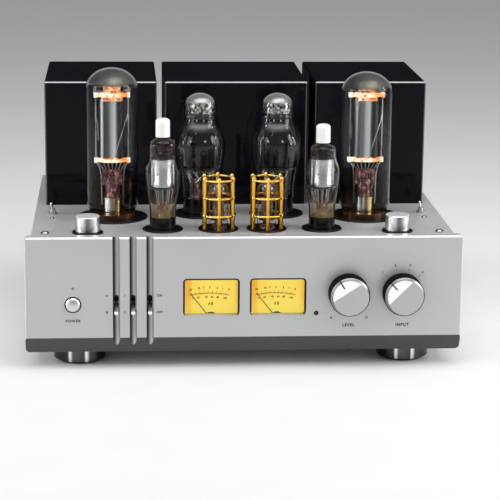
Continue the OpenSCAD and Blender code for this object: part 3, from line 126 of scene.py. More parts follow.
ROOM_TINT, ROOM_LIGHT = (0.86, 0.88, 0.9, 1), 0.4
world = bpy.data.worlds.new("studio")
world.use_nodes = True
room = world.node_tree.nodes["Background"]
room.inputs["Color"].default_value = ROOM_TINT
room.inputs["Strength"].default_value = ROOM_LIGHT
bpy.context.scene.world = world
bpy.context.scene.view_settings.view_transform = "Standard"

# %% [markdown]
# ## Writing node trees as sums
#
# Shader and geometry trees are both made of nodes and links. Two small classes let the rest of
# the lesson write them as plain calls: a Graph adds a node with its settings first and its
# sockets after, and a Wire is a socket that can be used in a sum, which adds the Math nodes.

# %% Graph and Wire
class Wire:
    """An output socket of a node, ready to be used in a sum."""

    def __init__(self, graph, socket):
        self.graph = graph
        self.socket = socket

    def math(self, operation, other=0.0, swap=False):
        first, second = (other, self) if swap else (self, other)
        return self.graph.node("ShaderNodeMath", {"operation": operation}, {0: first, 1: second})

    def __add__(self, other):
        return self.math("ADD", other)

    __radd__ = __add__

    def __sub__(self, other):
        return self.math("SUBTRACT", other)

    def __rsub__(self, other):
        return self.math("SUBTRACT", other, swap=True)

    def __mul__(self, other):
        return self.math("MULTIPLY", other)

    __rmul__ = __mul__

    def __truediv__(self, other):
        return self.math("DIVIDE", other)

    def __rtruediv__(self, other):
        return self.math("DIVIDE", other, swap=True)

    def __gt__(self, other):
        return self.math("GREATER_THAN", other)

    def __lt__(self, other):
        return self.math("LESS_THAN", other)

    def between(self, low, high):
        """0 at low, 1 at high and straight in between."""
        return self.graph.node("ShaderNodeMapRange", {"clamp": True}, {
            "Value": self, "From Min": low, "From Max": high, "To Min": 0.0, "To Max": 1.0})


class Graph:
    """A node tree that is written as calls."""

    def __init__(self, tree):
        self.tree = tree
        tree.nodes.clear()

    def feed(self, socket, value):
        if isinstance(value, Wire):
            self.tree.links.new(value.socket, socket)
        elif value is not None:
            socket.default_value = value

    def node(self, kind, settings=None, values=None, out=0):
        """Adds a node, gives it its settings, then its sockets, and returns one output."""
        made = self.tree.nodes.new(kind)
        for name, value in (settings or {}).items():
            if name == "stops":
                while len(made.color_ramp.elements) < len(value):
                    made.color_ramp.elements.new(0.5)
                for stop, (place, colour) in zip(made.color_ramp.elements, value):
                    stop.position = place
                    stop.color = (*colour, 1)
            else:
                setattr(made, name, value)
        for name, value in (values or {}).items():
            self.feed(made.inputs[name], value)
        return Wire(self, made.outputs[out])


print("graph helpers ready")

# %% [markdown]
# ## Finishes
#
# Each finish is one procedural material. It reads Object coordinates, which are metres on the
# amplifier here, so that a grain of half a millimetre is written as a scale of 2000. Colours are
# mixed by Mix nodes, and numbers are worked out by the sums above.

# %% A finish and its helpers
class Finish(Graph):
    """A procedural material around one Principled shader."""

    def __init__(self, name):
        self.material = bpy.data.materials.new(name)
        self.material.use_nodes = True
        super().__init__(self.material.node_tree)
        self.shader = self.tree.nodes.new("ShaderNodeBsdfPrincipled")
        output = self.tree.nodes.new("ShaderNodeOutputMaterial")
        self.tree.links.new(self.shader.outputs[0], output.inputs["Surface"])
        self.place = self.node("ShaderNodeTexCoord", out="Object")
        split = self.tree.nodes.new("ShaderNodeSeparateXYZ")
        self.feed(split.inputs[0], self.place)
        self.x, self.y, self.z = (Wire(self, axis) for axis in split.outputs)

    def side(self):
        """-1 on the left half of the amplifier and 1 on the right half."""
        return (self.x > 0.0) * 2 - 1

    def across(self, middle):
        """Millimetres to the right of an upright axis that has a twin on the other side."""
        return self.x / MM - self.side() * middle

    def above_deck(self):
        """Height above the deck in millimetres."""
        return (self.z - DECK_TOP) / MM

    def stretched(self, scale):
        """The place, drawn out by three factors."""
        return self.node("ShaderNodeMapping", {"vector_type": "POINT"},
                         {"Vector": self.place, "Scale": scale})

    def noise(self, scale, detail=3.0, stretch=None):
        return self.node("ShaderNodeTexNoise", None, {
            "Vector": self.stretched(stretch) if stretch else self.place,
            "Scale": scale, "Detail": detail, "Roughness": 0.6})

    def mix(self, factor, first, second):
        """A colour between two colours, given as triples or wires."""
        both = [(*c, 1) if isinstance(c, tuple) else c for c in (first, second)]
        return self.node("ShaderNodeMix", {"data_type": "RGBA"},
                         {0: factor, 6: both[0], 7: both[1]}, out=2)

    def ramp(self, factor, *stops):
        return self.node("ShaderNodeValToRGB", {"stops": stops}, {"Fac": factor})

    def bump(self, height, depth):
        """A normal for relief of the given depth in metres."""
        return self.node("ShaderNodeBump", None,
                         {"Height": height, "Strength": 1.0, "Distance": depth})

    def surface(self, **values):
        """Sets the shader's sockets: words joined by _ are the socket's name."""
        for name, value in values.items():
            if isinstance(value, tuple) and len(value) == 3:
                value = (*value, 1)
            self.feed(self.shader.inputs[name.replace("_", " ")], value)
        return self.material


print("finish helper ready")

# %% [markdown]
# ## Metal finishes
#
# The front panel is aluminium that was blasted with fine beads and anodised, so it has a soft
# grain of about a third of a millimetre. Its top edge was cut after that and shines. Its sloped
# lower band, the cut sides of its windows but for the bottom ledge, the gap around the button and
# one flank of each flute are darkened as painted shade. Each could be a mesh of its own, but masks
# in one material find these places by their depth behind the face, which keeps the grain unbroken
# over all of it.

# %% The front panel
BAND_H, BAND_D, CUT_EDGE = 17.0, 7.0, 1.7
FLUTE_X, FLUTE_PITCH, FLUTE_R = -117.0, 17.6, 3.75
WINDOW_PITCH, WINDOW_W, WINDOW_H, WINDOW_DROP = 70.2, 59.5, 40.8, 65.1
BUTTON_X, BUTTON_DROP, BUTTON_SHADOW_R = -180.0, 72.0, 8.9


def anodised_panel():
    """Beaded aluminium with a bright top edge, and painted shade on its band, flutes, window sides
    and gap.
    """
    f = Finish("anodised_panel")
    grain = f.noise(2600, 2.0)
    cloud = f.noise(7, 2.0)
    x, depth, drop = f.x / MM, (f.y - PANEL_FACE) / MM, (PANEL_TOP - f.z) / MM
    rise = (f.z - PANEL_FOOT) / (BAND_H * MM)
    # painted shade: the sloped lower band is darkened
    band = (rise < 1.0) * (depth < (1 - rise) * BAND_D + 0.2)
    edge = drop.between(CUT_EDGE + 0.1, 0.9) * (depth < CUT_EDGE + 0.05)
    # painted shade on the left flank of each flute
    shade = 0
    for i in (-1, 0, 1):
        across = (x - FLUTE_X - i * FLUTE_PITCH) / FLUTE_R
        shade = (across.math("ABSOLUTE") < 1.02) * across.between(0.3, -0.5) + shade
    shade = shade * (depth > 0.15) * (depth < FLUTE_R + 0.1)
    # painted shade on the cut sides of the windows, all but the bottom ledge
    wall = (depth > 0.3) * (x.math("ABSOLUTE") < WINDOW_PITCH / 2 + WINDOW_W / 2 + 1)
    wall = wall * ((drop - WINDOW_DROP).math("ABSOLUTE") < WINDOW_H / 2 + 0.5)
    ledge = drop > WINDOW_DROP + WINDOW_H / 2 - 0.3
    # painted shadow in the gap around the button
    right, up = x - BUTTON_X, BUTTON_DROP - drop
    gap = (right * right + up * up) < BUTTON_SHADOW_R ** 2
    dark = (band + wall * (1 - ledge) + gap).math("MINIMUM", 1.0)
    silver = f.mix(cloud, (0.51, 0.51, 0.515), (0.58, 0.58, 0.585))
    flute_shaded = f.mix(shade, f.mix(edge, silver, (0.5, 0.5, 0.505)), (0.035, 0.035, 0.037))
    black = f.mix(gap + wall, (0.072, 0.072, 0.074), (0.012, 0.012, 0.012))
    return f.surface(Base_Color=f.mix(dark, flute_shaded, black), Metallic=0.5 * (1 - wall),
                     Roughness=(0.3 + 0.2 * grain) * (1 - 0.5 * edge),
                     Normal=f.bump(grain, 0.000012))


nodes["front_panel"].data.materials[0] = anodised_panel()
print("front panel finished")

# %% [markdown]
# Turned, plated and brushed metals differ mostly in colour, gloss and the direction of their
# fine marks. Each could have a node tree of its own, but a function with those as values makes all
# of them, with faint smudges so that no surface is one even tone.

# %% Plain metals
def metal(name, colour, gloss, grain=1500, stretch=None, depth=0.000004, share=1.0):
    """Metal whose roughness wanders around a value, with fine marks drawn out by stretch."""
    f = Finish(name)
    marks = f.noise(grain, 2.0, stretch)
    smudge = f.noise(55, 3.0)
    worn = tuple(0.84 * c for c in colour)
    return f.surface(Base_Color=f.mix(smudge, worn, colour), Metallic=share,
                     Roughness=gloss * (0.75 + 0.5 * smudge) + 0.06 * marks,
                     Normal=f.bump(marks, depth))


steel = metal("brushed_steel", (0.56, 0.56, 0.58), 0.32, 900, (1, 1, 0.05))
chrome = metal("polished_metal", (0.8, 0.8, 0.82), 0.1, 2200, (1, 1, 0.2), 0.000001)
gold = metal("gold_plate", (0.8, 0.43, 0.055), 0.09, 1800, None, 0.000003)
deck_metal = metal("satin_deck", (0.58, 0.58, 0.585), 0.46, 2600, None, 0.000012, 0.45)
lever_metal = metal("lever_metal", (0.9, 0.9, 0.91), 0.34, 2000, None, 0.000004)
# painted reflection: the screw heads are darkened as if they mirrored dark surroundings
screw_steel = metal("screw_steel", (0.3, 0.3, 0.31), 0.07, 1500, None, 0.000002)
print("metals:", [m.name for m in (steel, chrome, gold, deck_metal, lever_metal, screw_steel)])

# %% [markdown]
# A turned knob or foot shows upright streaks, where its round side mirrors lamps and dark gaps.
# They could be left to the lamps alone, but the pale room of this scene would wash them out, so
# they are painted into the colour as reflections, drawn by the distance from the middle of each
# knob. The flat top is painted an even, pale tone as painted light, with less metal in it, so
# that it stays light from every side.

# %% Metals with painted reflection streaks
LIT_TOP_TONE = (0.78, 0.78, 0.79)
BIAS_X, BIAS_R, BIAS_TOP = 164.4, 13.1, DECK_TOP / MM + 17.5
FOOT_X, FOOT_R, FOOT_TOP = 174, 28, 25


def reflection_streaked(name, middle, radius, top, gloss, *stops):
    """Turned metal with painted reflections in upright streaks around two axes, one on each side,
    and a top painted pale as painted light.
    """
    f = Finish(name)
    marks = f.noise(3000, 2.0, (0.15, 0.15, 1))
    # painted reflections: light and dark upright streaks, by the distance from each axis
    silver = f.ramp(f.across(middle) / radius * 0.5 + 0.5 + 0.02 * marks, *stops)
    # painted light: the flat top is pale and less metallic
    face = f.z > top * MM
    return f.surface(Base_Color=f.mix(face, silver, LIT_TOP_TONE), Metallic=1 - 0.5 * face,
                     Roughness=gloss * (0.8 + 0.4 * marks) + 0.12 * face,
                     Normal=f.bump(marks, 0.000006))


def greys(*stops):
    """The stops of a ramp from pairs of a place and a tone, with a trace of blue."""
    return [(place, (tone, tone, tone * 1.01)) for place, tone in stops]


bias_metal = reflection_streaked("bias_metal", BIAS_X, BIAS_R, BIAS_TOP, 0.28, *greys(
    (0.0, 0.3), (0.1, 0.7), (0.22, 0.97), (0.36, 0.75), (0.47, 0.2), (0.58, 0.24),
    (0.75, 0.62), (0.92, 0.7), (1.0, 0.35)))
foot_metal = reflection_streaked("foot_metal", FOOT_X, FOOT_R, FOOT_TOP, 0.12, *greys(
    (0.0, 0.03), (0.29, 0.05), (0.33, 0.95), (0.38, 0.1), (0.6, 0.06), (0.64, 0.95),
    (0.7, 0.08), (1.0, 0.03)))
print("streaked metals:", bias_metal.name, foot_metal.name)

# %% [markdown]
# ## Paint, plastic and rubber
#
# Paint is never quite flat: it keeps a faint orange-peel wave a few millimetres long, which bends
# reflections. Moulded plastic, ceramic and rubber have a finer grain and less shine. All of them
# are one kind of surface with other numbers, so one function makes them.

# %% Paints and plastics
def coated(name, colour, gloss, wave, depth, shine=0.5, second=None):
    """Paint, plastic or rubber with a surface wave of the given scale and depth."""
    f = Finish(name)
    relief = f.noise(wave, 3.0)
    patch = f.noise(wave * 0.08, 3.0)
    other = second or tuple(1.35 * c for c in colour)
    return f.surface(Base_Color=f.mix(patch, colour, other),
                     Roughness=gloss * (0.8 + 0.4 * patch),
                     Specular_IOR_Level=shine, Normal=f.bump(relief, depth))


ring_black = coated("ring_black", (0.006, 0.006, 0.007), 0.3, 900, 0.00001, 0.12)
sheet_paint = coated("sheet_metal", (0.42, 0.42, 0.43), 0.42, 1400, 0.00002, 0.5,
                     (0.46, 0.46, 0.47))
rubber = coated("rubber", (0.014, 0.014, 0.014), 0.75, 1800, 0.00004, 0.3)
black_base = coated("black_base", (0.003, 0.003, 0.0032), 0.14, 500, 0.000008, 0.2)
black_plastic = coated("black_plastic", (0.01, 0.01, 0.011), 0.4, 2200, 0.00002)
brown_base = coated("brown_base", (0.03, 0.009, 0.002), 0.14, 300, 0.000006, 0.3,
                    (0.09, 0.03, 0.006))
ceramic = coated("ceramic", (0.84, 0.83, 0.8), 0.22, 600, 0.00001, 0.5, (0.9, 0.89, 0.87))
board_green = coated("board", (0.014, 0.07, 0.028), 0.3, 700, 0.00003, 0.5, (0.02, 0.1, 0.04))
capacitor_sleeve = coated("capacitor", (0.012, 0.022, 0.06), 0.25, 400, 0.00001)
compound = coated("compound", (0.02, 0.016, 0.012), 0.6, 260, 0.00015)
print("coatings:", [m.name for m in (ring_black, sheet_paint, black_base, brown_base, ceramic)])

# %% [markdown]
# The transformer covers are sprayed gloss black over smooth steel, the deepest black of all. A
# painted highlight draws a thin light line along their front top edge, and a fainter one along
# their upright front edges. Each edge could be a mesh of its own, but masks find it here as the
# place where two sides of a cover meet. The tops and the side walls have less clear coat than the
# fronts, so that they mirror less of the pale room.

# %% Covers
COVER_ENDS, COVER_TOP, COVER_BACK, COVER_EDGE = (79.7, 88.6, 213.2), 139.7, 174.2, 2.5


def lacquered():
    """Gloss black with painted highlights on its front edges."""
    f = Finish("lacquered")
    peel = f.noise(320, 3.0)
    patch = f.noise(25, 3.0)
    near_top = f.z > DECK_TOP + (COVER_TOP - 0.8 * COVER_EDGE) * MM
    near_front = f.y < PANEL_FACE + (COVER_BACK + 0.8 * COVER_EDGE) * MM
    near_end = 0
    for end in COVER_ENDS:
        away = (f.x.math("ABSOLUTE") / MM - end).math("ABSOLUTE")
        near_end = (away < 0.6 * COVER_EDGE) + near_end
    # painted highlight: a light line along the front top edge and a faint one on the upright front
    # edges
    edge = near_top * near_front
    corner = near_end * (1 - edge) * near_front
    wall = near_end * (1 - near_front)
    black = f.mix(patch, (0.0035, 0.0035, 0.0055), (0.006, 0.006, 0.0085))
    edge_highlit = f.mix(corner, black, (0.08, 0.08, 0.085))
    coat = 0.2 * (1 - 0.9 * near_top) * (1 - 0.8 * wall)
    return f.surface(Base_Color=f.mix(edge, edge_highlit, (0.3, 0.3, 0.31)),
                     Metallic=(edge + corner) * 0.8, Roughness=0.1 + 0.08 * patch + 0.1 * edge,
                     Specular_IOR_Level=0.0, Coat_Weight=coat, Normal=f.bump(peel, 0.000006))


cover_lacquer = lacquered()
print("cover edges at", COVER_ENDS, "mm")

# %% [markdown]
# Inside the covers, out of sight in most views, sit the transformers. Their cores are stacks of
# half-millimetre sheets, and their coils are wound with enamelled copper wire. Every sheet and
# every turn could be a mesh, but a stripe along the stack, in colour and bump, does for the look.

# %% Cores and coils
SHEET_PITCH, WIRE_PITCH = 1.0 * MM, 1.6 * MM


def striped(name, colours, axis, pitch, gloss, share):
    """Fine stripes across one axis, as on a stack of sheets or a layer of wire."""
    f = Finish(name)
    wave = (axis(f) * (2 * math.pi / pitch)).math("SINE") * 0.5 + 0.5
    patch = f.noise(70, 3.0)
    return f.surface(Base_Color=f.mix(wave * 0.7 + patch * 0.3, *colours), Metallic=share,
                     Roughness=gloss + 0.2 * patch, Normal=f.bump(wave, pitch * 0.15))


lamination = striped("lamination", ((0.05, 0.05, 0.055), (0.16, 0.16, 0.17)), lambda f: f.y,
                     SHEET_PITCH, 0.4, 0.6)
winding = striped("winding", ((0.2, 0.05, 0.012), (0.6, 0.22, 0.07)), lambda f: f.z,
                  WIRE_PITCH, 0.28, 0.7)
print("stripes:", lamination.name, winding.name)

# %% [markdown]
# Most solids keep their shape and only take a finish. A finish could be set piece by piece, but a
# table shows at a glance which solids share one. Solids that are made again further on, or get a
# finish of their own, aren't in it.

# %% Finishes of the solids
for finish, names in {
        deck_metal: ["top_deck"],
        sheet_paint: ["side_walls", "rear_panel", "bottom_plate"],
        steel: ["corner_posts", "volume_shaft", "selector_shaft", "volume_potentiometer",
                "selector_switch", "bias_controls"],
        screw_steel: ["chassis_screws"],
        foot_metal: ["feet"],
        lever_metal: ["left_toggle_lever", "middle_toggle_lever", "right_toggle_lever"],
        chrome: ["left_bias_lever", "right_bias_lever"],
        bias_metal: ["left_bias_knob", "right_bias_knob"],
        cover_lacquer: ["left_cover", "middle_cover", "right_cover"],
        ring_black: ["socket_rings"],
        rubber: ["foot_pads"],
        black_base: ["driver_tube_bases", "input_tube_bases"],
        brown_base: ["power_tube_bases"],
        black_plastic: ["power_switch", "toggle_switches", "meter_cases"],
        ceramic: ["tube_sockets", "input_tube_caps"],
        board_green: ["circuit_board"],
        capacitor_sleeve: ["filter_capacitors"],
        compound: ["transformer_potting"],
        lamination: ["transformer_cores"],
        winding: ["transformer_coils"]}.items():
    for name in names:
        nodes[name].data.materials[0] = finish
print("finished nodes:", sum(o.data.materials[0].use_nodes for o in nodes.values()))

# %% [markdown]
# ## Floor
#
# A pale floor carries the shadow and is what the lower parts of the metal reflect. A curved
# backdrop would hide its end, but only from the front, so it is one large square, far wider than
# any view, with the faint mottling of painted board.

# %% A pale floor
def pale_floor():
    f = Finish("pale_floor")
    mottle = f.noise(14, 4.0)
    return f.surface(Base_Color=f.mix(mottle, (0.76, 0.76, 0.75), (0.8, 0.8, 0.79)),
                     Roughness=0.55 + 0.1 * mottle, Specular_IOR_Level=0.25)


FLOOR_HALF = 30.0
floor_mesh = bpy.data.meshes.new("floor")
floor_mesh.from_pydata([(x * FLOOR_HALF, y * FLOOR_HALF, 0)
                        for x, y in ((-1, -1), (1, -1), (1, 1), (-1, 1))], [], [(0, 1, 2, 3)])
floor_mesh.materials.append(pale_floor())
floor = bpy.data.objects.new("floor", floor_mesh)
bpy.context.scene.collection.objects.link(floor)
print("floor half width:", FLOOR_HALF, "m")

# %% [markdown]
# ## Making pieces
#
# A piece is one mesh that rides on a body of the model. The Shape class collects its faces in
# millimetres, in the frame of whatever carries it: the deck, the front panel or the rear panel.
# Most pieces here are turned, extruded or bent from rod, so it has a method for each of these.

# %% Shape
def around(steps):
    """Cosine and sine of equal steps around a circle."""
    turns = [2 * math.pi * i / steps for i in range(steps)]
    return [(math.cos(turn), math.sin(turn)) for turn in turns]


class Shape:
    """The faces of one piece, in millimetres."""

    def __init__(self, carrier=Matrix()):
        self.faces = bmesh.new()
        self.carrier = carrier

    def point(self, place):
        return self.faces.verts.new(self.carrier @ Vector(place))

    def lathe(self, line, centre=(0, 0, 0), steps=48, closed=False):
        """Turns a line of (radius, height) points, drawn from below upwards, about an axis."""
        rings = []
        for radius, height in line:
            count = steps if radius > 1e-6 else 1
            rings.append([self.point((centre[0] + radius * c, centre[1] + radius * s,
                                      centre[2] + height)) for c, s in around(steps)[:count]])
        pairs = list(zip(rings, rings[1:])) + ([(rings[-1], rings[0])] if closed else [])
        for low, high in pairs:
            for i in range(steps):
                j = (i + 1) % steps
                corners = [low[i % len(low)], low[j % len(low)],
                           high[j % len(high)], high[i % len(high)]]
                corners = list(dict.fromkeys(corners))
                if len(corners) > 2:
                    self.faces.faces.new(corners)
        return self

    def prism(self, outline, low, high):
        """Extrudes an outline, drawn anticlockwise, between two heights."""
        bottom = [self.point((x, y, low)) for x, y in outline]
        top = [self.point((x, y, high)) for x, y in outline]
        self.faces.faces.new(bottom[::-1])
        self.faces.faces.new(top)
        for i in range(len(outline)):
            j = (i + 1) % len(outline)
            self.faces.faces.new((bottom[i], bottom[j], top[j], top[i]))
        return self

    def wire(self, path, radius, steps=8):
        """Bends a round rod along a path."""
        points = [Vector(p) for p in path]
        rings = []
        for i, here in enumerate(points):
            way = (points[min(i + 1, len(points) - 1)] - points[max(i - 1, 0)]).normalized()
            first = way.orthogonal().normalized() if i == 0 else first - way * first.dot(way)
            first.normalize()
            second = way.cross(first)
            rings.append([self.point(here + radius * (first * c + second * s))
                          for c, s in around(steps)])
        for low, high in zip(rings, rings[1:]):
            for k in range(steps):
                self.faces.faces.new((low[k], low[(k + 1) % steps],
                                      high[(k + 1) % steps], high[k]))
        self.faces.faces.new(rings[0][::-1])
        self.faces.faces.new(rings[-1])
        return self

    def mesh(self, name, sharp=35):
        """Turns the faces into a mesh in metres, smooth where it bends less than sharp."""
        mesh = bpy.data.meshes.new(name)
        bmesh.ops.recalc_face_normals(self.faces, faces=self.faces.faces)
        self.faces.to_mesh(mesh)
        self.faces.free()
        mesh.transform(Matrix.Scale(MM, 4))
        mesh.shade_smooth()
        mesh.set_sharp_from_angle(angle=math.radians(sharp))
        return mesh


print("shape helper ready")

# %% [markdown]
# A carrier is a matrix that puts a shape on the deck or on the panel. Outlines that come back often
# get a name: an oblong for bars and boxes, a ring for a rod that is bent to a hoop. Every tube has
# a twin on the other side. A Mirror modifier could make the twin, but some pairs differ in height,
# so one call makes both from the same function and joins them to one mesh.

# %% Carriers, outlines and pieces
SIDES = (-1, 1)


def on_deck(x, back):
    """A carrier on the deck, measured back from the face of the panel."""
    return Matrix.Translation((x, PANEL_FACE / MM + back, DECK_TOP / MM))


def on_panel(x, drop):
    """A carrier on the face of the panel, measured down from its top."""
    turn = Matrix(((1, 0, 0), (0, 0, -1), (0, 1, 0))).to_4x4()
    return Matrix.Translation((x, PANEL_FACE / MM, PANEL_TOP / MM - drop)) @ turn


def oblong(width, depth, x=0.0, y=0.0):
    """The outline of a box around a middle."""
    return [(x + i * width / 2, y + j * depth / 2)
            for i, j in ((-1, -1), (1, -1), (1, 1), (-1, 1))]


def ring(radius, height, steps):
    """A closed path for a rod that is bent to a hoop."""
    corners = around(steps)
    return [(radius * c, radius * s, height) for c, s in corners + corners[:1]]


def piece(name, mesh, finish, body="amplifier", stands_for=(), slot=None):
    """Shows a mesh as a piece of the amplifier that rides on a body."""
    mesh.materials.clear()
    mesh.materials.append(finish)
    made = bpy.data.objects.new(name, mesh)
    bpy.context.scene.collection.objects.link(made)
    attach(made, body)
    if stands_for:
        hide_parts(*stands_for)
    print(name, "faces:", len(mesh.polygons))


def joined(shapes, name):
    """One mesh out of several shapes."""
    whole = Shape()
    for shape in shapes:
        part = bpy.data.meshes.new("part")
        shape.faces.to_mesh(part)
        shape.faces.free()
        whole.faces.from_mesh(part)
        bpy.data.meshes.remove(part)
    return whole.mesh(name)


def pair(name, make, finish, tops=None, **says):
    """One piece from a left and a right shape, with heights of their own where tops are given."""
    twins = zip(SIDES, tops) if tops else zip(SIDES)
    piece(name, joined([make(*twin) for twin in twins], name), finish, **says)


print("piece helpers ready")

# %% [markdown]
# ## Bulbs
#
# The bulbs are blown glass of little more than a millimetre. Their outline swells from the base
# to the widest place, draws in to a neck and ends in a dome. A single skin would do for the shape,
# but turning that line out and back in again gives a wall with two faces, so that light passes
# through it as through real glass. Glass bends light by about 1.5. In a room that is pale all
# round, that would show too much of the room along the flanks, so each kind of bulb has a lower
# bend, which sets how bright its flanks are.

# %% Glass and the line of a bulb
GLASS_WALL, GLASS_TINT = 1.2, (0.92, 0.93, 0.93)


def bulb_line(stations, dome, inset=0.0, steps=10):
    """Radius and height along a bulb: eased between stations, then an elliptic dome."""
    line = []
    for (r0, z0), (r1, z1) in zip(stations, stations[1:]):
        for i in range(steps):
            t = i / steps
            line.append((r0 + (r1 - r0) * (1 - math.cos(math.pi * t)) / 2 - inset,
                         z0 + (z1 - z0) * t))
    r, z = stations[-1]
    for i in range(steps + 3):
        turn = math.pi / 2 * i / (steps + 2)
        line.append(((r - inset) * math.cos(turn), z + (dome - inset) * math.sin(turn)))
    line[-1] = (0.0, line[-1][1])
    return line


def blown_bulb(x, back, stations, dome):
    """A glass wall around an upright axis on the deck."""
    wall = bulb_line(stations, dome) + bulb_line(stations, dome, GLASS_WALL)[::-1]
    return Shape(on_deck(x, back)).lathe(wall, steps=64, closed=True)


def clear_glass(name, bend):
    """Faintly rippled glass that bends light by the given amount."""
    f = Finish(name)
    ripple = f.noise(45, 2.0, (1, 1, 0.25))
    pale = tuple(1.03 * c for c in GLASS_TINT)
    return f.surface(Base_Color=f.mix(ripple, GLASS_TINT, pale),
                     Roughness=0.0, IOR=bend, Transmission_Weight=1.0,
                     Normal=f.bump(ripple, 0.00002))


small_glass = clear_glass("clear_glass", 1.22)
power_glass = clear_glass("power_glass", 1.15)
driver_glass = clear_glass("driver_glass", 1.32)
print("glass wall:", GLASS_WALL, "mm")

# %% [markdown]
# The four kinds of tube stand in two rows. The right-hand tubes of two pairs are a little shorter
# in the photograph, as hand-blown bulbs are, so each has its own height. A bulb is given by its
# place, by stations of radius and height along its flank, and by the height of its dome. The films
# further on lie just inside the same lines, so these are kept as functions.

# %% The eight bulbs
POWER_X, POWER_BACK, POWER_TOPS, POWER_DOME = 138.3, 111.8, (164.2, 159.9), 23.5
DRIVER_X, DRIVER_BACK, DRIVER_TOP, DRIVER_DOME = 42.3, 125.9, 134.6, 14
INPUT_X, INPUT_TOPS = 84.9, (100.0, 93.6)
BUFFER_X, BUFFER_TOP = 25.8, 52.0
FRONT_ROW, SMALL_DOME = 49.5, 8


def power_bulb(side, top):
    stations = [(24, 6.5), (28.3, 15.5), (28.3, top - POWER_DOME)]
    return side * POWER_X, POWER_BACK, stations, POWER_DOME


def driver_bulb(side):
    stations = [(20.6, 20), (28.1, 80), (17.9, 108), (17.9, DRIVER_TOP - DRIVER_DOME)]
    return side * DRIVER_X, DRIVER_BACK, stations, DRIVER_DOME


def input_bulb(side, top):
    stations = [(13.8, 14), (18.5, 61), (13.8, 79), (13.8, top - SMALL_DOME)]
    return side * INPUT_X, FRONT_ROW, stations, SMALL_DOME


def buffer_bulb(side):
    stations = [(9.6, 1.6), (10.6, 7.6), (10.6, BUFFER_TOP - SMALL_DOME)]
    return side * BUFFER_X, FRONT_ROW, stations, SMALL_DOME


def capped_bulb(side, top):
    """An input bulb with the glass stub that carries its cap."""
    stub = [(0, 0), (4, 0), (4, 7.4), (3.4, 8), (0, 8)]
    return blown_bulb(*input_bulb(side, top)).lathe(stub, (0, 0, top - 0.3), 32)


pair("power_tube_glass", lambda side, top: blown_bulb(*power_bulb(side, top)), power_glass,
     POWER_TOPS, stands_for=["power_tube_bulbs"], slot="clear_glass")
pair("driver_tube_glass", lambda side: blown_bulb(*driver_bulb(side)), driver_glass,
     stands_for=["driver_tube_bulbs"], slot="clear_glass")
pair("input_tube_glass", capped_bulb, small_glass, INPUT_TOPS,
     stands_for=["input_tube_bulbs"], slot="clear_glass")
pair("buffer_tube_glass", lambda side: blown_bulb(*buffer_bulb(side)), small_glass,
     stands_for=["buffer_tube_bulbs"], slot="clear_glass")

# %% [markdown]
# ## Getter films
#
# A getter is a metal that is flashed inside a tube to bind the last gas. It leaves a mirror on the
# glass that fades out at its edge. It could be painted on the glass by a mask, but glass and mirror
# need different shaders, so it is a thin skin just inside the dome. Its Alpha falls off with height
# and a little noise, so that the glass shows through at the edge.

# %% A mirror and a skin to carry it
FILM_GAP = 0.15


def getter_film(name, colour, gloss, low, high, most, share=1.0):
    """A mirror film that is clear at the low height and densest at the high one."""
    f = Finish(name)
    drift = f.noise(130, 4.0)
    height = (f.above_deck() + drift * 5).between(low, high)
    return f.surface(Base_Color=f.mix(drift, tuple(0.7 * c for c in colour), colour),
                     Metallic=share, Roughness=gloss + 0.15 * drift, Alpha=height * most,
                     Specular_IOR_Level=0.05)


def film(x, back, stations, dome, low, gap=FILM_GAP):
    """The upper part of a skin that lies just inside a bulb, above a height."""
    line = [p for p in bulb_line(stations, dome, GLASS_WALL + gap) if p[1] >= low]
    return Shape(on_deck(x, back)).lathe(line, steps=56)


print("film gap:", FILM_GAP, "mm")

# %% [markdown]
# A driver tube has an even mirror in its dome, but two films are more than that. The one in a power
# tube is dull, like smoke, with a painted highlight in its middle and painted shade at its rim, so
# its colour follows the distance from a point in the dome. The mirror of a driver tube breaks up
# along its lower rim into bright and dark flecks, which a noise draws on a second skin.

# %% Smoke, mirror and glitter in the domes
SMOKE_LIGHT_RIGHT, SMOKE_LIGHT_HEIGHT, SMOKE_LIGHT_R = 3, 150, 26
SMOKE_EDGE, GLITTER_LOW, GLITTER_HIGH = (145.5, 148.5), (113, 114.5), (127.5, 125.5)


def smoky_film():
    """A dull film in the dome of a power tube, with a painted highlight in the middle and painted
    shade at its rim.
    """
    f = Finish("smoky_film")
    across = f.across(POWER_X) - SMOKE_LIGHT_RIGHT
    height = f.above_deck() + f.side() * ((POWER_TOPS[0] - POWER_TOPS[1]) / 2)
    drift = f.noise(130, 4.0)
    rise = (height - SMOKE_LIGHT_HEIGHT) * 1.7
    away = (across * across + rise * rise).math("SQRT") + drift * 5
    # painted highlight around a point in the dome, fading to painted shade at the rim
    tone = f.ramp(away.between(0, SMOKE_LIGHT_R), (0.1, (0.4, 0.385, 0.34)),
                  (0.45, (0.13, 0.125, 0.11)), (0.9, (0.035, 0.035, 0.033)))
    return f.surface(Base_Color=tone, Metallic=0.3, Roughness=0.5 + 0.2 * drift,
                     Specular_IOR_Level=0.1,
                     Alpha=(height + drift * 4).between(*SMOKE_EDGE) * 0.9)


def glitter_film():
    """The lower rim of a getter mirror, where it breaks up into bright and dark flecks."""
    f = Finish("glitter_film")
    fleck = f.noise(420, 3.0, (1, 1, 0.8))
    height = f.above_deck()
    band = height.between(*GLITTER_LOW) * height.between(*GLITTER_HIGH)
    tone = f.ramp(fleck, (0.4, (0.02, 0.018, 0.015)), (0.52, (0.32, 0.3, 0.27)),
                  (0.6, (0.95, 0.93, 0.88)))
    return f.surface(Base_Color=tone, Metallic=1.0, Roughness=0.15 + 0.3 * fleck,
                     Alpha=band * 0.92)


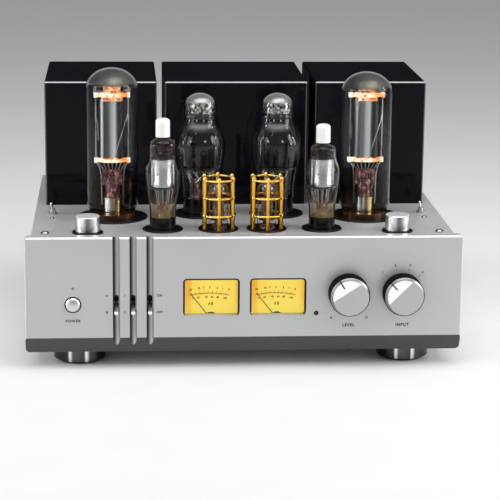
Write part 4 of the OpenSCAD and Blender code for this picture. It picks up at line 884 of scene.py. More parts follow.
pair("power_tube_film", lambda side, top: film(*power_bulb(side, top), 136), smoky_film(),
     POWER_TOPS)
pair("driver_tube_film", lambda side: film(*driver_bulb(side), 119),
     getter_film("silver_film", (0.5, 0.49, 0.47), 0.36, 126, 128, 1.0))
pair("driver_tube_glitter", lambda side: film(*driver_bulb(side), 112, 0.35), glitter_film())

# %% [markdown]
# ## Inside the power tubes
#
# A power tube holds a tall grey plate between two ceramic bridges, and the filament heats both
# bridges until they glow. The plate is a sheet folded to two rounded ridges with a hollow
# between. It could be drawn point by point, but its outline is near a squared ellipse that is
# pinched in the middle, which is a short formula.

# %% Plates of the power tubes
PLATE_LOW, PLATE_HIGH, HOT_GAP = 64.8, 133.0, 4.5


def power_shape(side):
    """An empty shape on the axis of a power tube."""
    return Shape(on_deck(side * POWER_X, POWER_BACK))


def ridged_outline(width, depth):
    """A squared ellipse that is pinched in the middle of its long sides."""
    outline = []
    for c, s in around(72):
        x = width / 2 * math.copysign(abs(c) ** 0.55, c)
        pinch = 0.62 + 0.38 * min(1.0, (abs(x) / (0.34 * width)) ** 2)
        outline.append((x, depth / 2 * math.copysign(abs(s) ** 0.6, s) * pinch))
    return outline


def power_plate(side):
    """A plate with a stiffening bead near each end."""
    shape = power_shape(side)
    shape.prism(ridged_outline(25.4, 17), PLATE_LOW + 1.5, PLATE_HIGH - HOT_GAP)
    for height in (PLATE_LOW + 6, PLATE_HIGH - HOT_GAP - 6):
        shape.prism(ridged_outline(26.2, 17.6), height - 0.5, height + 0.5)
    return shape


def ridge_lit_grey():
    """Grey metal with the upright streaks of a ridged plate, as painted highlights and painted
    shade.
    """
    f = Finish("grey_electrode")
    marks = f.noise(1200, 2.0, (1, 1, 0.06))
    # painted highlights and painted shade in upright streaks across the plate
    tone = f.ramp((f.across(POWER_X) + marks * 0.6).between(-14, 14), *greys(
        (0.03, 0.1), (0.08, 0.7), (0.14, 0.45), (0.2, 0.08), (0.38, 0.16), (0.5, 0.62),
        (0.62, 0.8), (0.68, 0.2), (0.74, 0.03), (0.95, 0.05), (1.0, 0.3)))
    return f.surface(Base_Color=tone, Metallic=0.9, Roughness=0.3 + 0.15 * marks,
                     Normal=f.bump(marks, 0.000008))


pair("power_tube_anodes", power_plate, ridge_lit_grey(),
     stands_for=["power_tube_plates"], slot="grey_electrode")

# %% [markdown]
# The bridges are narrow hexagons of white ceramic, widest in the middle, with a block at each end
# that grips a rod. Heat makes them shine from inside, white over most of their length and orange
# towards the right. A lamp inside each bridge could give this light, but an Emission Color shows
# it on the surface itself: a ramp along each bridge, broken by embers where a noise is low.

# %% Glowing bridges
BRIDGE = [(-19.5, -3), (-13.5, -5), (-8, -9.5), (8, -9.5), (13.5, -5), (19.5, -3),
          (19.5, 3), (13.5, 5), (8, 9.5), (-8, 9.5), (-13.5, 5), (-19.5, 3)]
BRIDGE_T, BLOCK_RIM, ROD_X, GLOW_HALF = 3.0, 0.9, 17.5, 20
HEAT = ((0.0, (1.0, 0.86, 0.78)), (0.1, (1.0, 0.88, 0.76)), (0.4, (1.0, 0.9, 0.66)),
        (0.6, (1.0, 0.95, 0.85)), (0.7, (1.0, 0.66, 0.3)), (0.78, (1.0, 0.36, 0.06)),
        (0.88, (0.8, 0.22, 0.025)), (0.93, (1.0, 0.72, 0.5)), (1.0, (1.0, 0.84, 0.74)))


def glowing(name, low, high, strength):
    """A surface of a power tube that glows, with embers where a noise is below low."""
    f = Finish(name)
    patch = f.noise(240, 3.0)
    along = f.across(POWER_X) + (patch - 0.5) * 12
    heat = f.ramp(along.between(-GLOW_HALF, GLOW_HALF), *HEAT)
    ember = f.ramp(f.noise(300, 2.0), (0.35, (0.1, 0.012, 0.002)),
                   (0.5, (0.75, 0.15, 0.012)), (0.62, (1.0, 0.42, 0.07)))
    light = f.mix(patch.between(low, high), ember, heat)
    return f.surface(Base_Color=f.mix(patch, (0.1, 0.05, 0.02), (0.2, 0.12, 0.06)),
                     Roughness=0.5 + 0.2 * patch, Emission_Color=light,
                     Emission_Strength=strength)


def bridges(side):
    """The bridges under and over a plate, with the blocks at their ends."""
    shape = power_shape(side)
    for low in (PLATE_LOW - BRIDGE_T, PLATE_HIGH):
        shape.prism(BRIDGE, low, low + BRIDGE_T)
        for end in SIDES:
            shape.prism(oblong(4, 7.2, end * ROD_X), low - BLOCK_RIM, low + BRIDGE_T + BLOCK_RIM)
    return shape


pair("power_tube_bridges", bridges, glowing("hot_ceramic", 0.36, 0.46, 1.1),
     stands_for=["power_tube_spacers"], slot="spacer")

# %% [markdown]
# Small coil springs above the upper bridge keep the filament tight, and its ends glow through the
# gap over the plate. A spring could be made by a Screw modifier, but it is only a rod that is bent
# along a helix, which is a short formula.

# %% Filament springs and glowing gap
SPRINGS = (-7.5, -2.5, 2.5, 7.5)


def helix(x, low, high, radius, turns, steps=14):
    """A path that winds upwards around an axis."""
    path = around(steps) * turns + around(steps)[:1]
    return [(x + radius * c, radius * s, low + (high - low) * i / (turns * steps))
            for i, (c, s) in enumerate(path)]


def filament(side):
    """Springs with the bars that hold them, and the hot edges above and below the plate."""
    shape = power_shape(side)
    top = PLATE_HIGH + BRIDGE_T
    for x in SPRINGS:
        shape.wire(helix(x, top, top + 6.5, 1.5, 5), 0.42, 6)
        shape.wire([(x, 0, top + 6), (x, 0, top + 9)], 0.5, 6)
    shape.prism(oblong(17.2, 3, 0, 1.5), top, top + 7)
    shape.prism(oblong(19, 6), top + 7.5, top + 9)
    shape.prism(ridged_outline(23, 14.5), PLATE_HIGH - HOT_GAP - 0.4, PLATE_HIGH)
    return shape.prism(ridged_outline(22, 14), PLATE_LOW, PLATE_LOW + 1.6)


pair("power_tube_filaments", filament, glowing("hot_wire", 0.47, 0.6, 1.0), slot="spacer")

# %% [markdown]
# Two rods carry the bridges, a slanted wire leads to the grid, and a fan of wires runs down into
# the stem. Curve objects with a round bevel could draw them, but the wire method gives closed rods
# straight away, all in one mesh.

# %% Rods and leads
FAN = [(-14, -7.5), (-9.5, -5.2), (-5, -2.6), (0, 0), (5, 2.6), (9.5, 5.2), (14, 7.5)]


def rods_and_leads(side):
    """Rods, slanted leads, the fan below the plate and a hoop near the top."""
    shape = power_shape(side)
    for end in SIDES:
        shape.wire([(end * 11.5, 0, 14), (end * 12, 0, 46), (end * 13.5, 0, 55),
                    (end * ROD_X, 0, 62), (end * ROD_X, 0, 143)], 0.7)
        shape.wire([(end * ROD_X, 0, 142), (end * 15, 0, 147), (end * 9, 0, 150),
                    (0, 0, 151)], 0.5)
    shape.wire([(ROD_X, -2, 116), (15, -9, 108), (6, -11.5, 80), (3, -10.5, 68)], 0.5)
    shape.wire([(-ROD_X, 2, 112), (-15.5, 5, 100), (-15, 6, 84)], 0.4)
    for upper, lower in FAN:
        shape.wire([(upper, 0, 62.5), (upper * 0.95, 0, 58.5), (lower * 1.2, 0, 52),
                    (lower, 0, 44)], 0.4)
    return shape.wire(ring(20.5, 141, 40), 0.35, 6)


lead_wire = metal("lead_wire", (0.45, 0.44, 0.42), 0.25, 900, None, 0.000004)
pair("power_tube_rods", rods_and_leads, lead_wire)

# %% [markdown]
# At the foot of a tube the glass is pinched flat around the leads while it is soft, and a metal
# collar holds it. Modelling every drop of it would take many faces, so the stem is a turned shape
# with a flat pinch and four runs of glass, and a strong bump with warm colours, mottled with
# painted reflections of warm light, does the rest.

# %% Stems and collars
COLLAR_R, NO_TOP = 10.4, 400


def stem(side):
    """Pinched glass with runs of glass over its leads."""
    shape = power_shape(side)
    shape.lathe([(0, 6.6), (9.0, 6.6), (8.6, 20), (7.8, 28), (8.2, 36), (7, 42), (0, 42)])
    shape.prism(oblong(21, 5.2), 36, 53)
    for x in (-6.4, -1.5, 3.8, 7.9):
        shape.wire([(x, -3.4, 24), (x * 0.8, -6, 31), (x * 1.1, -4.2, 39), (x, -2.9, 50)], 1.1)
    return shape


def collar(side):
    line = [(9.4, 7), (9.9, 7), (9.9, 20.5), (COLLAR_R, 21), (COLLAR_R, 22.4), (9.4, 22.4)]
    return power_shape(side).lathe(line, closed=True)


def pinched_glass(name, colours):
    """Glass over copper leads: warm and wet-looking, mottled with painted reflections."""
    f = Finish(name)
    mottle = f.noise(260, 4.0, (1, 1, 0.5))
    # the copper tint of the leads, with painted reflections in the palest tones and the purple
    # patches
    tone = f.ramp(mottle, *zip((0.36, 0.52, 0.64), colours))
    violet = f.noise(330, 2.0).between(0.5, 0.62)
    return f.surface(Base_Color=f.mix(violet * 0.7, tone, (0.1, 0.05, 0.12)),
                     Roughness=0.12 + 0.2 * mottle, Coat_Weight=0.25, Metallic=0.5,
                     Specular_IOR_Level=0.2, Normal=f.bump(mottle, 0.0008))


stem_glass = pinched_glass("stem_glass", ((0.01, 0.004, 0.005), (0.16, 0.045, 0.035),
                                          (0.62, 0.32, 0.22)))
# painted reflections: silver and gold upright streaks around each collar
collar_metal = reflection_streaked(
    "collar_metal", POWER_X, COLLAR_R, NO_TOP, 0.22, (0.0, (0.3, 0.28, 0.25)),
    (0.15, (0.95, 0.93, 0.9)), (0.4, (0.8, 0.76, 0.7)), (0.52, (0.3, 0.22, 0.13)),
    (0.62, (0.62, 0.45, 0.22)), (0.85, (0.5, 0.33, 0.14)), (1.0, (0.12, 0.07, 0.03)))
pair("power_tube_pinches", stem, stem_glass, stands_for=["power_tube_stems"], slot="ceramic")
pair("power_tube_collars", collar, collar_metal)

# %% [markdown]
# ## Inside the driver tubes
#
# The driver tubes have a wide black plate with a rounded top, which catches the light from above
# as a soft band, drawn here as a painted highlight. A box with a Bevel modifier comes near it, but
# the plate also tapers, so its end is drawn as an outline and pulled across, narrower the higher a
# point lies.

# %% Plates of the driver tubes
DRIVER_PLATE_LOW, DRIVER_PLATE_HIGH, ROD_HIGH = 52.0, 102.5, 86


def driver_shape(side):
    """An empty shape on the axis of a driver tube."""
    return Shape(on_deck(side * DRIVER_X, DRIVER_BACK))


def loaf(shape, width, depth, low, high, round_h, taper, steps=16):
    """A folded plate with a rounded top and shoulders, drawn from its end and pulled."""
    side = [(-depth / 2 * math.cos(math.pi * i / steps),
             high - round_h + round_h * math.sin(math.pi * i / steps)) for i in range(steps + 1)]
    outline = [(-depth / 2, low)] + side + [(depth / 2, low)]
    bend = round_h * 0.8

    def half(z):
        over = max(0.0, z - high + bend) / bend
        lean = taper * (z - low) / (high - low)
        return width / 2 - lean - bend * (1 - math.sqrt(1 - over ** 2))

    ends = [[shape.point((end * half(z), y, z)) for y, z in outline] for end in SIDES]
    for i in range(len(outline)):
        j = (i + 1) % len(outline)
        shape.faces.faces.new((ends[0][i], ends[0][j], ends[1][j], ends[1][i]))
    shape.faces.faces.new(ends[0][::-1])
    shape.faces.faces.new(ends[1])
    return shape


def driver_plate(side):
    """A plate with an upright rib near each end."""
    shape = loaf(driver_shape(side), 36, 15, DRIVER_PLATE_LOW, DRIVER_PLATE_HIGH, 12, 4)
    for x in (-12.5, 12.5):
        shape.prism(oblong(1.2, 1.2, x, -7.6), DRIVER_PLATE_LOW, ROD_HIGH)
    return shape


def sooted():
    """Blackened metal with a painted highlight over its rounded shoulder, where the light falls."""
    f = Finish("black_electrode")
    marks = f.noise(1300, 2.0)
    height = f.above_deck()
    away = f.across(DRIVER_X).math("ABSOLUTE")
    # painted highlight over the rounded shoulder
    shoulder = height.between(90, 98) * height.between(104, 100) * away.between(24, 4)
    shoulder = shoulder * shoulder
    return f.surface(Base_Color=f.mix(shoulder * (0.8 + 0.2 * marks), (0.008, 0.008, 0.009),
                                      (0.75, 0.75, 0.755)),
                     Metallic=0.7, Roughness=0.42 + 0.15 * marks, Specular_IOR_Level=0.1,
                     Normal=f.bump(marks, 0.000015))


pair("driver_tube_anodes", driver_plate, sooted(),
     stands_for=["driver_tube_mounts"], slot="black_electrode")

# %% [markdown]
# Discs of mica hold the plate in the bulb. They have small teeth where they grip the glass. Rods
# and wires run through them, and polished rivets show as white dots in front. A rivet head could
# be half a sphere, but few faces do for so small a dome.

# %% Rivets, rods and micas of the driver tubes
def toothed(radius, teeth, depth):
    """An outline with small teeth, as micas have where they grip the glass."""
    outline = []
    for i, (c, s) in enumerate(around(teeth * 4)):
        r = radius if i % 4 < 2 else radius - depth
        outline.append((r * c, r * s))
    return outline


def dome_rivet(shape, x, y, z, radius, steps=12):
    """A polished rivet head that faces the front."""
    crown = shape.point((x, y - radius * 0.7, z))
    rims = [[shape.point((x + r * c, y - depth, z + r * s)) for c, s in around(steps)]
            for r, depth in ((radius, 0), (radius * 0.75, radius * 0.5))]
    for i in range(steps):
        j = (i + 1) % steps
        shape.faces.faces.new((rims[0][i], rims[0][j], rims[1][j], rims[1][i]))
        shape.faces.faces.new((rims[1][i], rims[1][j], crown))
    shape.faces.faces.new(rims[0][::-1])


def driver_metal(side):
    """Rivets, support rods, cathode legs and the getter ring."""
    shape = driver_shape(side)
    for x in (-10.6, 5.2):
        dome_rivet(shape, x, -7.5, 82, 1.7)
    for x in (-13, -7, 3, 9.5):
        dome_rivet(shape, x, -8, 109.5, 1.2)
    for x in (-12.5, -4, 4, 12.5):
        shape.wire([(x, 0, 100), (x * 0.9, 0, 108), (x * 0.8, 0, 119)], 0.6)
        shape.wire([(x, 0, 52), (x * 0.95, 0, 46), (x * 0.5, 0, 36), (x * 0.45, 0, 30)], 0.55)
    shape.wire([(-9, -4, 50), (-3, -5, 42), (4, -4, 36)], 0.45)
    shape.wire([(9, -4, 50), (2, -5, 43), (-4, -4, 36)], 0.45)
    return shape.wire(ring(8, 119, 30), 0.7)


def driver_micas(side):
    shape = driver_shape(side).prism(toothed(15.4, 18, 1.2), 107.2, 108.2)
    return shape.prism(toothed(20, 22, 1.4), 50.6, 51.6)


def driver_pinch(side):
    line = [(0, 20.1), (11, 20.1), (10, 26), (7.5, 31), (6.5, 34), (0, 34)]
    return driver_shape(side).lathe(line).prism(oblong(20, 4), 30, 40)


dark_mica = coated("dark_mica", (0.035, 0.032, 0.028), 0.45, 900, 0.00002, 0.3)
pair("driver_tube_rods", driver_metal, chrome)
pair("driver_tube_micas", driver_micas, dark_mica)
pair("driver_tube_pinches", driver_pinch, stem_glass)

# %% [markdown]
# ## Inside the small tubes
#
# The input tubes have a bright nickel plate: a cylinder with a seam on each side and two spot
# welds. It is turned, with a bead at each end, and the seams and welds are set on it. Wires fan out
# below it, as in the larger tubes.

# %% Input tube mounts
def input_shape(side):
    """An empty shape on the axis of an input tube."""
    return Shape(on_deck(side * INPUT_X, FRONT_ROW))


def nickel_plate(side):
    """A beaded cylinder with its seams and welds."""
    shape = input_shape(side)
    shape.lathe([(0, 47), (10.6, 47), (10.6, 48), (11.2, 48.6), (11.2, 52), (10.8, 52.6),
                 (10.8, 70.5), (11.2, 71), (11.2, 74.6), (10.6, 75), (10.6, 76), (0, 76)])
    for end in SIDES:
        shape.prism(oblong(1.8, 1, end * 11.2), 48, 75)
        dome_rivet(shape, end * 4.6 - 1.5, -10.2, 61, 1.1)
    return shape


def input_wires(side):
    """Legs below the plate, posts and a lead above it, and the getter ring."""
    shape = input_shape(side)
    for i, (c, s) in enumerate(around(8)):
        x, y = 8 * c, 8 * s
        shape.wire([(x, y, 47), (x * 0.9, y * 0.9, 41), (x * 0.75, y * 0.35, 33),
                    (x * 0.7, y * 0.15, 25)], 0.4)
        if i % 2:
            shape.wire([(x, y, 76), (x, y, 84)], 0.45)
    shape.wire([(0, 0, 83), (0, 0, 92)], 0.5)
    return shape.wire(ring(6, 86, 24), 0.6)


def input_micas(side):
    shape = input_shape(side).prism(toothed(12.3, 16, 1), 78.2, 79)
    return shape.prism(toothed(14.6, 16, 1), 45.2, 46)


def input_pinch(side):
    line = [(0, 14.2), (6, 14.2), (4.6, 18), (3.6, 22), (3.2, 27), (0, 27)]
    return input_shape(side).lathe(line).prism(oblong(12, 2.8), 21, 30)


nickel = metal("nickel", (0.7, 0.7, 0.71), 0.26, 1500, (1, 1, 0.05), 0.000006)
pair("input_tube_anodes", nickel_plate, nickel,
     stands_for=["input_tube_mounts"], slot="grey_electrode")
pair("input_tube_wires", input_wires, lead_wire)
pair("input_tube_micas", input_micas, dark_mica)
pair("input_tube_pinches", input_pinch, stem_glass)

# %% [markdown]
# The buffer tubes inside the cages hold two ribbed boxes between micas. They are seen only between
# the rods of a cage, so both boxes, their wires and the micas are one mesh with one warm finish.

# %% Buffer tube mounts
BOX_X, BOX_HALF_W, BOX_HALF_D = 3.4, 2.7, 3.4
RIBBED = ((-1, -1), (-0.3, -1), (-0.3, -1.25), (0.3, -1.25), (0.3, -1), (1, -1),
          (1, 1), (0.3, 1), (0.3, 1.25), (-0.3, 1.25), (-0.3, 1), (-1, 1))


def buffer_mount(side):
    """Two ribbed boxes on a foot, with their micas, wires and getter ring."""
    shape = Shape(on_deck(side * BUFFER_X, FRONT_ROW))
    shape.lathe([(0, 1.7), (8.6, 1.7), (8.6, 3), (5, 6), (0, 6)])
    for end in SIDES:
        x = end * BOX_X
        shape.prism([(x + dx * BOX_HALF_W, dy * BOX_HALF_D) for dx, dy in RIBBED], 12, 32)
        shape.wire([(x, 0, 5), (x, 0, 12)], 0.6)
        shape.wire([(x, 0, 32), (end * 2, 0, 40)], 0.5)
    for low in (10.4, 33):
        shape.prism(toothed(9, 14, 0.8), low, low + 0.6)
    return shape.wire(ring(4, 40, 20), 0.6)


# painted reflections: the palest tones and purple patches of this mottle stand in for reflected
# light
warm_mount = pinched_glass("warm_mount", ((0.05, 0.03, 0.03), (0.22, 0.14, 0.13),
                                          (0.55, 0.42, 0.4)))
pair("buffer_tube_anodes", buffer_mount, warm_mount,
     stands_for=["buffer_tube_mounts"], slot="grey_electrode")

# %% [markdown]
# Films also darken the glass of the small tubes: brown in the necks of the input tubes, amber at
# their feet, and grey in the domes of the buffer tubes. The foot of a power tube looks dark brown
# through the glass, but only its rear half, so that the stem in front stays clear. All of them are
# skins like the getter films above, cut at a height.

# %% Films of the small tubes and the feet
def foot_film(x, back, stations, dome, high, rear=False):
    """The lower part of a skin that lies just inside a bulb, or the rear half of that part."""
    line = [p for p in bulb_line(stations, dome, GLASS_WALL + FILM_GAP) if p[1] <= high]
    shape = Shape(on_deck(x, back)).lathe(line, steps=48)
    if rear:
        front = [v for v in shape.faces.verts if v.co.y < PANEL_FACE / MM + back - 0.01]
        bmesh.ops.delete(shape.faces, geom=front, context="VERTS")
    return shape


pair("input_tube_neck_film", lambda side, top: film(*input_bulb(side, top), 78),
     getter_film("brown_film", (0.02, 0.007, 0.004), 0.12, 80, 84, 0.82, 0.15), INPUT_TOPS)
pair("input_tube_foot_film", lambda side, top: foot_film(*input_bulb(side, top), 38),
     getter_film("amber_film", (0.5, 0.32, 0.12), 0.12, 38, 18, 0.5, 0.4), INPUT_TOPS)
pair("power_tube_foot_film", lambda side, top: foot_film(*power_bulb(side, top), 62, True),
     getter_film("tea_film", (0.009, 0.0038, 0.0016), 0.4, 62, 34, 0.95, 0.0), POWER_TOPS)
pair("buffer_tube_film", lambda side: film(*buffer_bulb(side), 38),
     getter_film("dark_film", (0.3, 0.28, 0.27), 0.12, 42, 48, 0.9))

# %% [markdown]
# ## Gold cages
#
# A cage of gilt rods guards each buffer tube. Six rods stand on a circle, three hoops tie them, and
# each crossing has a round boss. A loop in Python could build it, but everything in it repeats, so
# a Geometry Nodes tree makes it. The class below writes such trees as calls, as for the finishes.

# %% A helper for geometry trees
class Repeat(Graph):
    """A Geometry Nodes tree with named inputs, which ends as one plain mesh."""

    def __init__(self, name, inputs):
        tree = bpy.data.node_groups.new(name, "GeometryNodeTree")
        super().__init__(tree)
        tree.interface.new_socket("Geometry", in_out="OUTPUT", socket_type="NodeSocketGeometry")
        self.values = inputs
        self.sockets = {}
        for label, value in inputs.items():
            kind = {int: "NodeSocketInt", float: "NodeSocketFloat"}.get(type(value))
            self.sockets[label] = tree.interface.new_socket(
                label, in_out="INPUT", socket_type=kind or "NodeSocketVector").identifier
        entry = tree.nodes.new("NodeGroupInput")
        self.input = {label: Wire(self, entry.outputs[label]) for label in inputs}

    def vector(self, x=0.0, y=0.0, z=0.0):
        return self.node("ShaderNodeCombineXYZ", None, {0: x, 1: y, 2: z})

    def moved(self, geometry, offset=(0, 0, 0), turn=(0, 0, 0)):
        return self.node("GeometryNodeTransform", None, {
            "Geometry": geometry, "Translation": offset, "Rotation": turn})

    def join(self, *parts):
        joint = self.tree.nodes.new("GeometryNodeJoinGeometry")
        for part in parts:
            self.tree.links.new(part.socket, joint.inputs[0])
        return Wire(self, joint.outputs[0])

    def instances(self, points, shape, turn=None):
        return self.node("GeometryNodeInstanceOnPoints", None, {
            "Points": points, "Instance": shape, "Rotation": turn})

    def mesh(self, geometry, finish, carrier=Matrix(), sharp=40):
        """Realizes the tree, runs it as a modifier once and keeps the plain mesh on a carrier."""
        whole = self.node("GeometryNodeRealizeInstances", None, {0: geometry})
        whole = self.node("GeometryNodeSetMaterial", None,
                          {"Geometry": whole, "Material": finish})
        self.tree.links.new(whole.socket, self.tree.nodes.new("NodeGroupOutput").inputs[0])
        host = bpy.data.objects.new("host", bpy.data.meshes.new("host"))
        bpy.context.scene.collection.objects.link(host)
        modifier = host.modifiers.new("repeat", "NODES")
        modifier.node_group = self.tree
        for label, value in self.values.items():
            modifier[self.sockets[label]] = value
        shown = host.evaluated_get(bpy.context.evaluated_depsgraph_get())
        mesh = bpy.data.meshes.new_from_object(shown)
        host.modifiers.remove(modifier)
        bpy.data.objects.remove(host)
        mesh.transform(Matrix.Scale(MM, 4) @ carrier)
        mesh.shade_smooth()
        mesh.set_sharp_from_angle(angle=math.radians(sharp))
        return mesh


print("geometry tree helper ready")

# %% [markdown]
# The tree grows from the inside out: one rod with its round head and its bosses, six such rods on
# the points of a circle, three hoops on the points of an upright line, and two cages side by side.

# %% The two cages
CAGE_LOW, HEAD_SIZE, BOSS_SIZE = DECK_TOP / MM + 1.6, 1.18, 1.22

cage = Repeat("gold_cage", {
    "Rods": 6, "Circle": 17.0, "Rod Radius": 2.2, "Height": 57.0, "Hoop Radius": 1.35,
    "First Hoop": 14.5, "Hoop Step": 19.2, "Apart": 2 * BUFFER_X,
    "Place": (-BUFFER_X, PANEL_FACE / MM + FRONT_ROW, CAGE_LOW)})
size = cage.input
straight = cage.node("GeometryNodeMeshCylinder", None, {
    "Vertices": 20, "Radius": size["Rod Radius"], "Depth": size["Height"] - size["Rod Radius"]})
straight = cage.moved(straight, cage.vector(z=(size["Height"] - size["Rod Radius"]) / 2))
head = cage.node("GeometryNodeMeshUVSphere", None, {
    "Segments": 20, "Rings": 12, "Radius": size["Rod Radius"] * HEAD_SIZE})
head = cage.moved(head, cage.vector(z=size["Height"] - size["Rod Radius"] * HEAD_SIZE))
boss = cage.node("GeometryNodeMeshUVSphere", None, {
    "Segments": 20, "Rings": 10, "Radius": size["Rod Radius"] * BOSS_SIZE})
heights = cage.node("GeometryNodeMeshLine", {"mode": "OFFSET"}, {
    "Count": 3, "Start Location": cage.vector(z=size["First Hoop"]),
    "Offset": cage.vector(z=size["Hoop Step"])})
rod = cage.join(straight, head, cage.instances(heights, boss))
circle = cage.node("GeometryNodeMeshCircle", None, {
    "Vertices": size["Rods"], "Radius": size["Circle"]})
circle = cage.moved(circle, turn=(0, 0, -math.pi / 2))
hoop = cage.node("GeometryNodeCurveToMesh", None, {
    "Curve": cage.node("GeometryNodeCurvePrimitiveCircle", None,
                       {"Resolution": 64, "Radius": size["Circle"] + 0.5}),
    "Profile Curve": cage.node("GeometryNodeCurvePrimitiveCircle", None,
                               {"Resolution": 12, "Radius": size["Hoop Radius"]})})
one_cage = cage.join(cage.instances(circle, rod), cage.instances(heights, hoop))
both = cage.node("GeometryNodeMeshLine", {"mode": "OFFSET"}, {
    "Count": 2, "Start Location": size["Place"], "Offset": cage.vector(x=size["Apart"])})
cage_mesh = cage.mesh(cage.instances(both, one_cage), gold)
print("cage faces:", len(cage_mesh.polygons))

# %% [markdown]
# Gold on so thin a rod is bright along a line that faces the light and brown towards the edges,
# and both are painted into its colour as painted highlight and painted shade. A look that follows
# the camera would slide in other views, so each point of the mesh keeps how far it faces one fixed
# direction, as an attribute, and the finish reads that.

# %% Gilt finish of the cages
TO_LIGHT = Vector((-0.38, -0.88, 0.28)).normalized()


def store_facing(mesh, way):
    """Keeps on each point how far its normal lies along a direction, from 0 to 1."""
    kept = mesh.attributes.new("facing", "FLOAT", "POINT")
    kept.data.foreach_set("value", [v.normal.dot(way) ** 2 for v in mesh.vertices])


def gilt():
    """Gold plate on thin rods, with a painted highlight along the front left and painted shade
    towards the edges.
    """
    f = Finish("gilt_rods")
    facing = f.node("ShaderNodeAttribute", {"attribute_name": "facing"}, out="Fac")
    smudge = f.noise(90, 3.0)
    # painted shade where a rod turns from the light, painted highlight where it faces it
    tone = f.ramp(facing + (smudge - 0.5) * 0.2, (0.0, (0.16, 0.06, 0.006)),
                  (0.3, (0.62, 0.31, 0.03)), (0.65, (0.9, 0.53, 0.08)),
                  (0.9, (1.0, 0.78, 0.28)))
    return f.surface(Base_Color=tone, Metallic=1.0, Roughness=0.12 + 0.12 * smudge,
                     Normal=f.bump(smudge, 0.00001))


store_facing(cage_mesh, TO_LIGHT)
piece("gold_cages", cage_mesh, gilt(), stands_for=["tube_cages"], slot="gold_plate")

# %% [markdown]
# ## Front knobs
#
# Each knob is turned from bar, with a bevelled rim, and its side is painted black as painted
# shade. Its face has fine rings from the lathe and a black pointer line, and a thin dark line of
# painted shadow runs round its edge. Rings and lines could be cut into the mesh, but they are
# finer than its faces, so a finish draws them by the distance from the knob's axis and from the
# pointer.

# %% Knob faces
KNOB_DROP, KNOB_R, KNOB_H, KNOB_GAP, KNOB_EDGE = 60.8, 21.3, 20.0, 1.2, 3.2
SLANT_X, SLANT = 5.5, math.radians(6)
POINTER_W, POINTER_L, EDGE_SHADOW_W = 1.5, 7.0, 0.9
KNOB_FACE = KNOB_GAP + KNOB_H


def knob_face(name, x, lean, pale, dark, gloss):
    """Lathe marks around a knob's axis, a painted shadow line at the edge and a pointer line that
    leans left.
    """
    f = Finish(name)
    right = f.x / MM - x
    rise = f.z / MM - (PANEL_TOP / MM - KNOB_DROP)
    radius = (right * right + rise * rise).math("SQRT")
    along = rise * math.cos(lean) - right * math.sin(lean)
    across = right * math.cos(lean) + rise * math.sin(lean)
    line = (across.math("ABSOLUTE") < POINTER_W / 2) * (along > KNOB_R - KNOB_EDGE - POINTER_L)
    # painted shadow: a thin dark line round the edge of the face
    line = line.math("MAXIMUM", radius > KNOB_R - EDGE_SHADOW_W)
    rings = f.node("ShaderNodeTexNoise", {"noise_dimensions": "1D"},
                   {"W": radius, "Scale": 9.0, "Detail": 2.0})
    silver = f.mix(rings, dark, pale)
    return f.surface(Base_Color=f.mix(line, silver, (0.01, 0.01, 0.01)),
                     Metallic=1 - line, Roughness=gloss * (0.7 + 0.6 * rings) + 0.3 * line,
                     Normal=f.bump(rings, 0.000012))


print("knob radius:", KNOB_R, "mm")

# %% [markdown]
# After turning, most of the face is milled off at a slant that falls away from the pointer, which
# leaves a half moon of the flat face. A Boolean could take it off, but cutting the turned shape
# with a plane and closing the hole is the same step with less to go wrong. Side, half moon, slant
# and rim then get their own finish, told apart by where their faces look: lit and shaded copies of
# one aluminium, with a painted highlight on the half moon, painted shade on the slant and rim, and
# black painted shade on the side.

# %% Turned and cut knobs
MOON_Y, SLANT_Y, RIM_Y = -0.999, -0.99, -0.6


def knob_mesh(name, x, lean):
    """A turned knob whose face is cut at a slant below the pointer."""
    shape = Shape(on_panel(x, KNOB_DROP))
    shape.lathe([(0, KNOB_GAP), (KNOB_R - 0.6, KNOB_GAP), (KNOB_R, KNOB_GAP + 0.6),
                 (KNOB_R, KNOB_FACE - 4.6), (KNOB_R - 0.4, KNOB_FACE - 4.3),
                 (KNOB_R - 0.4, KNOB_FACE - 3.6), (KNOB_R, KNOB_FACE - 3.3),
                 (KNOB_R, KNOB_FACE - KNOB_EDGE), (KNOB_R - 0.6, KNOB_FACE - KNOB_EDGE + 0.6),
                 (KNOB_R - KNOB_EDGE, KNOB_FACE - 0.1), (KNOB_R - KNOB_EDGE - 0.2, KNOB_FACE),
                 (0, KNOB_FACE)], steps=120)
    towards = Vector((-math.sin(lean), math.cos(lean), 0))
    turn = shape.carrier.to_3x3()
    cut = bmesh.ops.bisect_plane(
        shape.faces, geom=shape.faces.verts[:] + shape.faces.edges[:] + shape.faces.faces[:],
        plane_co=shape.carrier @ (towards * SLANT_X + Vector((0, 0, KNOB_FACE))),
        plane_no=turn @ (Vector((0, 0, 1)) - towards * math.tan(SLANT)), clear_outer=True)
    rim = [e for e in cut["geom_cut"] if isinstance(e, bmesh.types.BMEdge) and e.is_boundary]
    bmesh.ops.holes_fill(shape.faces, edges=rim, sides=0)
    return shape.mesh(name, 20)


